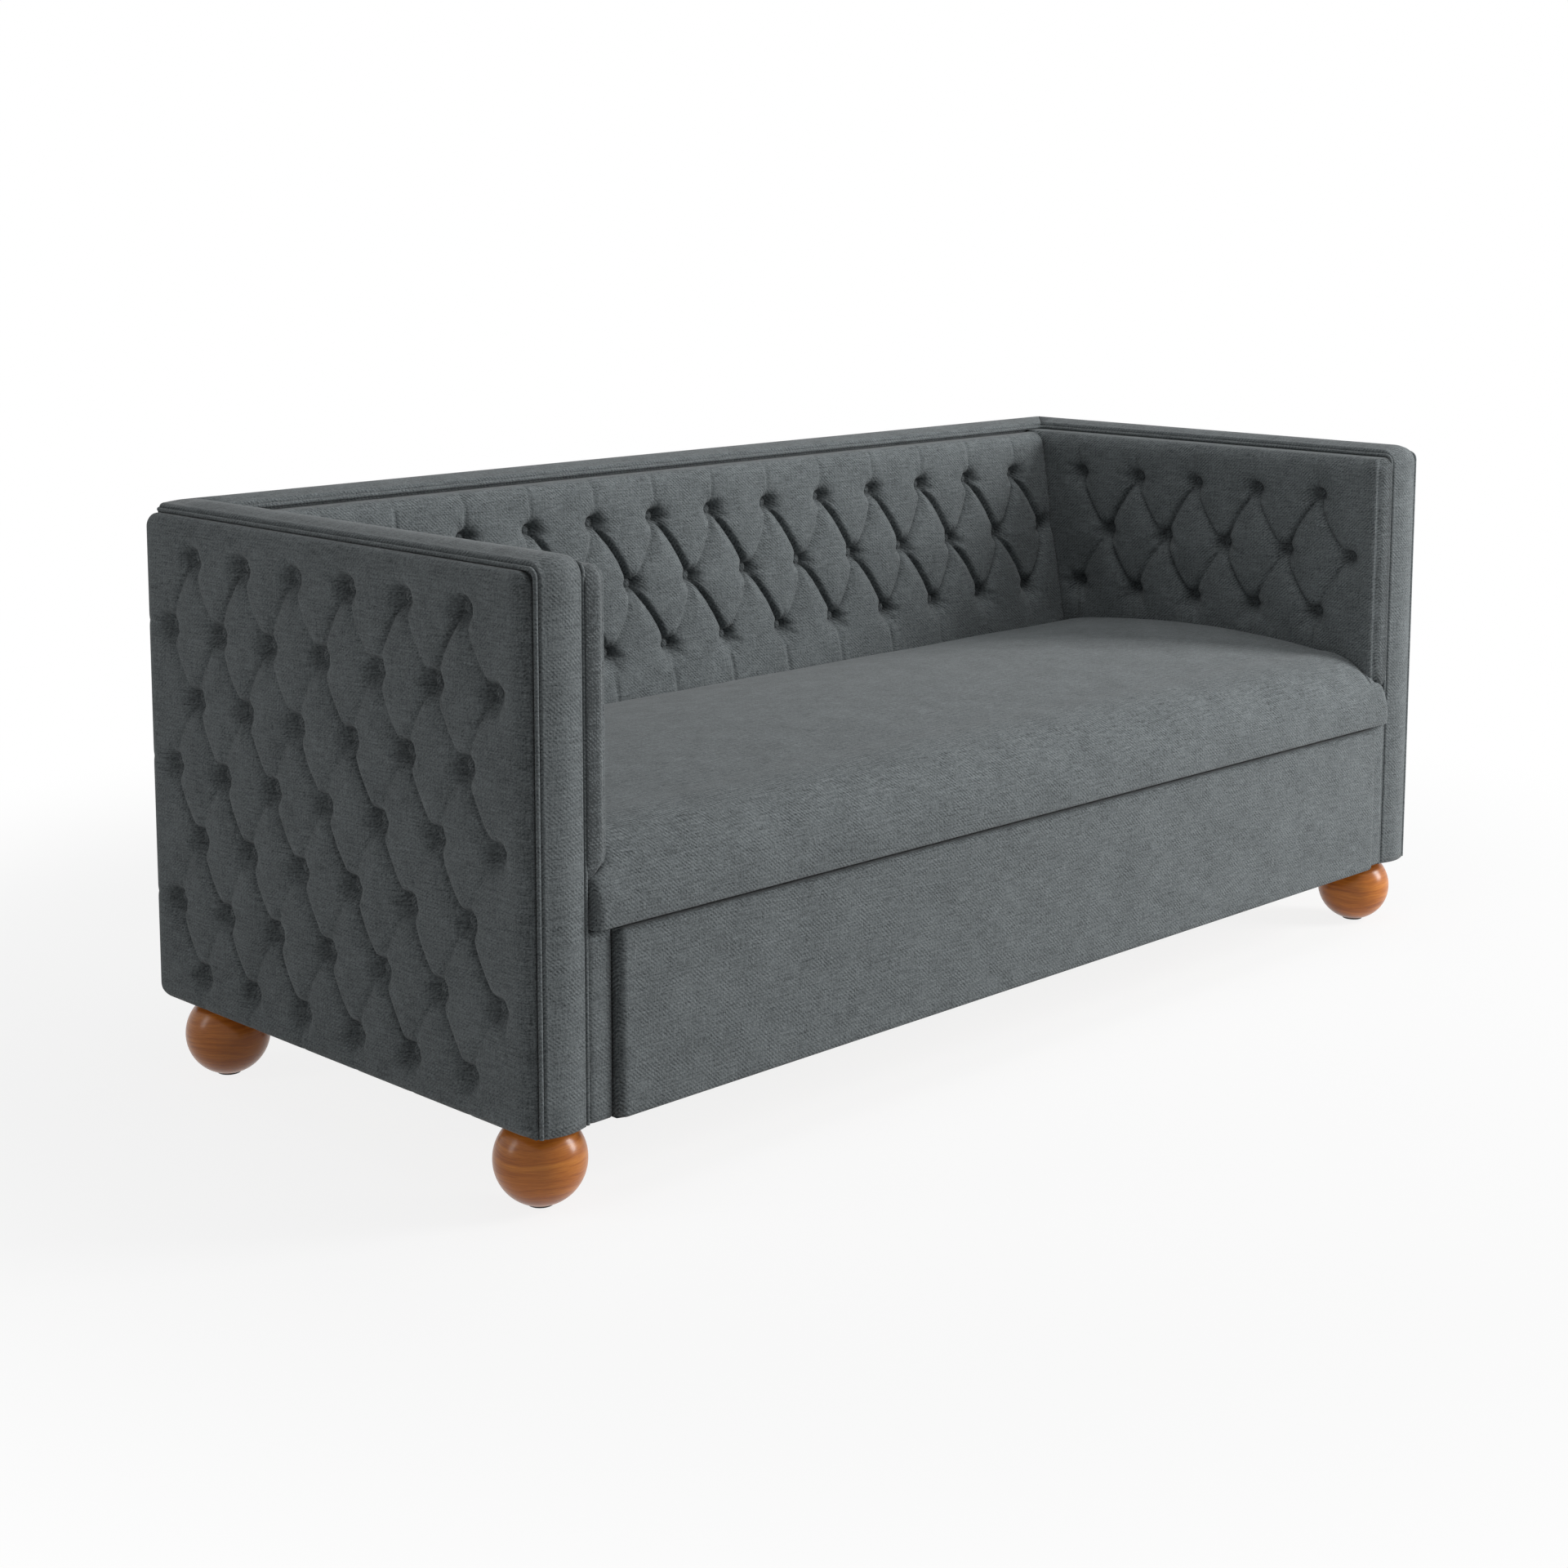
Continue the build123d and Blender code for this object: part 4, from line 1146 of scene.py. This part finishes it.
def makeSeat(look):
    low, high = (Vector(c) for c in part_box("seat_cushion"))
    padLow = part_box("right_arm_pad")[0]
    padIn = padLow[0] - look["padGap"]
    ledge = padLow[2] - look["ledgeGap"]
    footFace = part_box("back_pad")[0][1] - look["backGap"]
    topRear = footFace + look["lean"] * (look["rearHeight"] - ledge)
    rear = high.y - look["rearGap"]
    side = high.x
    radius = look["padRadius"]
    foot = (low.y, low.z + look["foot"])
    rings = []
    for x in seatPlaces(padIn, side, look):
        swell = look["swell"] * (1 - (abs(x) / side) ** 2)
        shoulder = (low.y + look["roll"], look["shoulder"] + swell)
        across, up = look["noseMid"]
        noseMid = (low.y + across * look["roll"], foot[1] + up * (shoulder[1] - foot[1]))
        share = look["crownMid"]
        crownMid = ((1 - share) * shoulder[0] + share * topRear, look["crown"] + swell)
        profile = [(low.y + y, low.z + z) for y, z in look["hem"]]
        profile += arcThrough(foot, noseMid, shoulder, look["arcSteps"][0])
        profile += arcThrough(shoulder, crownMid, (topRear, look["rearHeight"]), look["arcSteps"][1])[1:]
        steps = look["tuckSteps"]
        for i in range(steps):  # the rear edge tucks down against the back pad
            y, z = profile[i - steps]
            profile[i - steps] = (y, z - look["tuck"] * ((i + 1) / steps) ** 3)
        profile += [(footFace, ledge), (rear, ledge), (rear, low.z + clothGap)]
        reach = abs(x) - padIn  # past 0 the seat runs on under the round foot of an arm pad
        limit = farOff
        drop = look["padDrop"] * max(0.0, 1 + reach / look["padSoft"]) ** 2
        if reach > 0:
            run = min(reach, radius)
            limit = ledge + radius - math.sqrt(max(radius**2 - (radius - run) ** 2, 0))
            drop = 0.0
        nearEnd = max(0.0, look["endRound"] - (side - abs(x)))
        back = look["endRound"] - math.sqrt(look["endRound"] ** 2 - nearEnd**2)
        ring = []
        for y, z in profile:
            down = drop if z > ledge + look["dropFrom"] else 0
            pull = back if y < low.y + look["endReach"] else 0
            lift = look["frontLift"] * min(max((look["liftAt"] - y) / look["liftRun"], 0), 1)
            ring.append((x, y + pull, min(z - down, limit + lift)))
        rings.append(ring)
    points, faces = sweepRings(rings)
    points = np.array(points)
    top = np.clip((points[:, 2] - look["waverFrom"]) / look["waverRise"], 0, 1)
    waver = smoothNoise(points[:, 0], points[:, 1], look["waverScale"], look["seed"])
    points[:, 2] += top * look["waver"] * waver
    makePiece("seatCushion", points, faces, cloth, "frame", ["seat_cushion"], fill=0.95, flat=1)


makeSeat(seatLook)
print("seat made")


# a low crown that wavers a little, with painted shade darkening the cloth along its border
crownLook = dict(flatness=(8, 6), waverScale=0.25, shade=0.9, shadeReach=0.008)


def crownRelief(size, crown, seed, wander=0.0004):
    def relief(u, v):
        flatU, flatV = crownLook["flatness"]
        bell = (1 - (2 * u / size[0] - 1) ** flatU) * (1 - (2 * v / size[1] - 1) ** flatV)
        border = np.minimum(np.minimum(u, size[0] - u), np.minimum(v, size[1] - v))
        dark = crownLook["shade"] * np.clip(1 - border / crownLook["shadeReach"], 0, 1)
        waver = wander * smoothNoise(u, v, crownLook["waverScale"], seed)
        still = np.zeros_like(u)
        return still, still, bell * (crown + waver), dark

    return relief


# plain padded panels that face the front (-1) or the rear (1); rise lifts the face, gap clears the back
frontLook = dict(
    body="trundle",
    facing=-1,
    spread=0.0022,
    rise=0.0,
    gap=0.0,
    crown=0.0010,
    step=0.012,
    rolls=((0.013, 0.014), (0.013, 0.014), (0.006, 0.006), (0.006, 0.006)),
    seed=3,
)
rearLook = dict(
    body="frame",
    facing=1,
    spread=0.0,
    rise=0.0,
    gap=clothGap,
    crown=0.0010,
    step=0.012,
    rolls=((0.012, 0.012),) * 4,
    seed=7,
)
stileLook = dict(
    body="frame",
    facing=-1,
    spread=0.0,
    rise=0.008,
    gap=0.0,
    crown=0.0006,
    step=0.006,
    rolls=((0.014, 0.009), (0.005, 0.005), (0.005, 0.005), (0.005, 0.005)),
    seed=9,
)


def makePanel(name, node, look):
    low, high = (Vector(c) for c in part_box(node))
    low.x -= look["spread"]
    high.x += look["spread"]
    size = (high.x - low.x, high.z - low.z)
    facing = look["facing"]
    face, back = (high.y, low.y) if facing > 0 else (low.y, high.y)
    face += facing * look["rise"]

    def spot(u, v, rise):
        return np.stack([low.x + u, face + facing * rise, low.z + v], -1)

    relief = crownRelief(size, look["crown"], look["seed"])
    wall = straightWall(1, back + facing * look["gap"])
    points, faces, dips = padMesh(size, look["step"], look["rolls"], relief, spot, wall)
    makePiece(name, points, faces, cloth, look["body"], [node], fill=0.9, flat=1, dips=dips)


def mirrored(look):
    left, right, foot, top = look["rolls"]
    return dict(look, rolls=(right, left, foot, top))


makePanel("trundleFront", "trundle_front_cover", frontLook)
makePanel("rearCover", "rear_cover", rearLook)
makePanel("leftStile", "left_stile", stileLook)
makePanel("rightStile", "right_stile", mirrored(stileLook))
print("panels made")

# turned ball feet
footLook = dict(segments=96, rings=48, merge=0.00002)


def makeFeet(look):
    for name in ("front_left_foot", "rear_left_foot", "front_right_foot", "rear_right_foot"):
        low, high = (Vector(c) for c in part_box(name))
        radius = (high.x - low.x) / 2
        center = ((low.x + high.x) / 2, (low.y + high.y) / 2, radius)
        first = math.asin((low.z - radius) / radius)
        last = math.asin((high.z - radius) / radius)
        turns = [first + (last - first) * i / look["rings"] for i in range(look["rings"] + 1)]
        profile = [(0, low.z)]
        profile += [(radius * math.cos(turn), radius + radius * math.sin(turn)) for turn in turns]
        profile += [(0, high.z)]
        work = bmesh.new()
        verts = [work.verts.new((center[0] + r, center[1], z)) for r, z in profile]
        edges = [work.edges.new((a, b)) for a, b in zip(verts, verts[1:])]
        bmesh.ops.spin(
            work,
            geom=verts + edges,
            cent=center,
            axis=(0, 0, 1),
            angle=2 * math.pi,
            steps=look["segments"],
            use_merge=True,
        )
        bmesh.ops.remove_doubles(work, verts=work.verts, dist=look["merge"])
        mesh = bpy.data.meshes.new(name)
        work.to_mesh(mesh)
        work.free()
        end, hand, _ = name.split("_")
        finishPiece(end + hand.title() + "Foot", mesh, turnedWood, "frame", [name], slot="turned_wood")


makeFeet(footLook)

# mattress in the pull-out
mattressLook = dict(rolls=((0.022, 0.022),) * 4, inset=0.008, crown=0.006, wander=0.0015, step=0.014, seed=13)


def makeMattress(look):
    low, high = (Vector(c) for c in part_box("trundle_mattress"))
    size = (high.x - low.x, high.y - low.y)
    top = high.z - look["inset"]

    def spot(u, v, rise):
        return np.stack([low.x + u, low.y + v, top + rise], -1)

    relief = crownRelief(size, look["crown"], look["seed"], look["wander"])
    wall = straightWall(2, low.z + clothGap)
    points, faces, _ = padMesh(size, look["step"], look["rolls"], relief, spot, wall)
    nodes = ["trundle_mattress"]
    makePiece("trundleMattress", points, faces, ticking, "trundle", nodes, slot="ticking", fill=0.8)


makeMattress(mattressLook)
print("feet and mattress made")

# carried-over pieces of the frame, the castors and the fasteners
nodeFinish = {
    "frame_timber": softwood,
    "frame_board": plywood,
    "steel": zinc,
    "castor_wheel": nylon,
    "glide": glide,
}
for sub in frame["record"]["subparts"]:
    finish = nodeFinish.get(sub["material_slot"])
    if finish:
        low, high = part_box(sub["node"])
        if finish == plywood and high[1] - low[1] > high[0] - low[0]:
            finish = sidePlywood  # the grain runs from front to rear
        node = frame["nodes"][sub["node"]]
        node.data.materials.clear()
        node.data.materials.append(finish)
print("frame covered")

# floor and sky: the rays named here see plain white, and the floor keeps the shadow near the object
studioLook = dict(
    half=14.0,
    drop=0.0004,
    colour=(0.88, 0.88, 0.88),
    near=1.3,
    far=2.4,
    keep=0.85,
    sky=0.15,
    whiteRays=("Is Camera Ray", "Is Glossy Ray", "Is Transmission Ray"),
)


def makeFloor(look):
    half = look["half"]
    mesh = bpy.data.meshes.new("floor")
    corners = [(-half, -half), (half, -half), (half, half), (-half, half)]
    mesh.from_pydata([(x, y, -look["drop"]) for x, y in corners], [], [(0, 1, 2, 3)])
    ground = bpy.data.objects.new("floor", mesh)
    scene.collection.objects.link(ground)
    paint = Finish("paleFloor")
    camera, glossy, clear = (paint.node("ShaderNodeLightPath", output=ray) for ray in look["whiteRays"])
    away = paint.node("ShaderNodeVectorMath", {"operation": "LENGTH"}, {0: paint.place()}, output="Value")
    span = {"From Min": look["near"], "From Max": look["far"], "To Min": look["keep"], "To Max": 1.0}
    fade = paint.node("ShaderNodeMapRange", {"interpolation_type": "SMOOTHSTEP"}, {"Value": away, **span})
    diffuse = paint.node("ShaderNodeBsdfDiffuse", None, {"Color": look["colour"]})
    white = paint.node("ShaderNodeEmission", None, {"Color": (1, 1, 1), "Strength": 1.0})
    seen = (camera + glossy + clear) * fade
    mixed = paint.node("ShaderNodeMixShader", None, {0: seen, 1: diffuse, 2: white})
    paint.node("ShaderNodeOutputMaterial", None, {"Surface": mixed})
    mesh.materials.append(paint.material)


def makeSky(look):
    world = scene.world or bpy.data.worlds.new("studio")
    scene.world = world
    world.use_nodes = True
    nodes, link = world.node_tree.nodes, world.node_tree.links.new
    nodes.clear()
    rays = nodes.new("ShaderNodeLightPath")
    seen, seenAll = (nodes.new("ShaderNodeMath") for _ in range(2))
    soft, white = (nodes.new("ShaderNodeBackground") for _ in range(2))
    for shade, strength in ((soft, look["sky"]), (white, 1.0)):
        shade.inputs["Color"].default_value = (1, 1, 1, 1)
        shade.inputs["Strength"].default_value = strength
    mix = nodes.new("ShaderNodeMixShader")
    out = nodes.new("ShaderNodeOutputWorld")
    camera, glossy, clear = (rays.outputs[ray] for ray in look["whiteRays"])
    link(camera, seen.inputs[0])
    link(glossy, seen.inputs[1])
    link(seen.outputs[0], seenAll.inputs[0])
    link(clear, seenAll.inputs[1])
    link(seenAll.outputs[0], mix.inputs[0])
    link(soft.outputs[0], mix.inputs[1])
    link(white.outputs[0], mix.inputs[2])
    link(mix.outputs[0], out.inputs["Surface"])


makeFloor(studioLook)
makeSky(studioLook)

lampLooks = dict(
    topLamp=dict(place=(0.2, -0.6, 3.4), target=(0, -0.1, 0.4), size=(3.0, 2.0), power=38),
    rightLamp=dict(place=(4.0, -3.7, 2.5), target=(0.4, -0.2, 0.4), size=(1.7, 3.2), power=280),
    leftLamp=dict(place=(-4.0, 1.6, 1.8), target=(-1.0, 0, 0.5), size=(0.9, 1.6), power=20),
)


def addLamp(name, look):
    lamp = bpy.data.lights.new(name, "AREA")
    lamp.shape = "RECTANGLE"
    lamp.size, lamp.size_y = look["size"]
    lamp.energy = look["power"]
    made = bpy.data.objects.new(name, lamp)
    made.location = look["place"]
    aim = Vector(look["target"]) - Vector(look["place"])
    made.rotation_euler = aim.to_track_quat("-Z", "Y").to_euler()
    scene.collection.objects.link(made)


for lampName, lampLook in lampLooks.items():
    addLamp(lampName, lampLook)

cameraLook = dict(
    place=(-3.0508, -2.8843, 1.3158),
    yaw=-44.785,
    pitch=-7.912,
    sensor=36,
    lens=60.103,
    shift=(0.01294, -0.15),
    reach=100,
)


def addCamera(look):
    lens = bpy.data.cameras.new("photoCamera")
    lens.sensor_width = look["sensor"]
    lens.lens = look["lens"]
    lens.shift_x, lens.shift_y = look["shift"]
    lens.clip_end = look["reach"]
    made = bpy.data.objects.new("photoCamera", lens)
    made.location = look["place"]
    made.rotation_euler = (math.radians(90 + look["pitch"]), 0, math.radians(look["yaw"]))
    scene.collection.objects.link(made)
    scene.camera = made


addCamera(cameraLook)
scene.view_settings.view_transform = "Standard"
print("studio set")
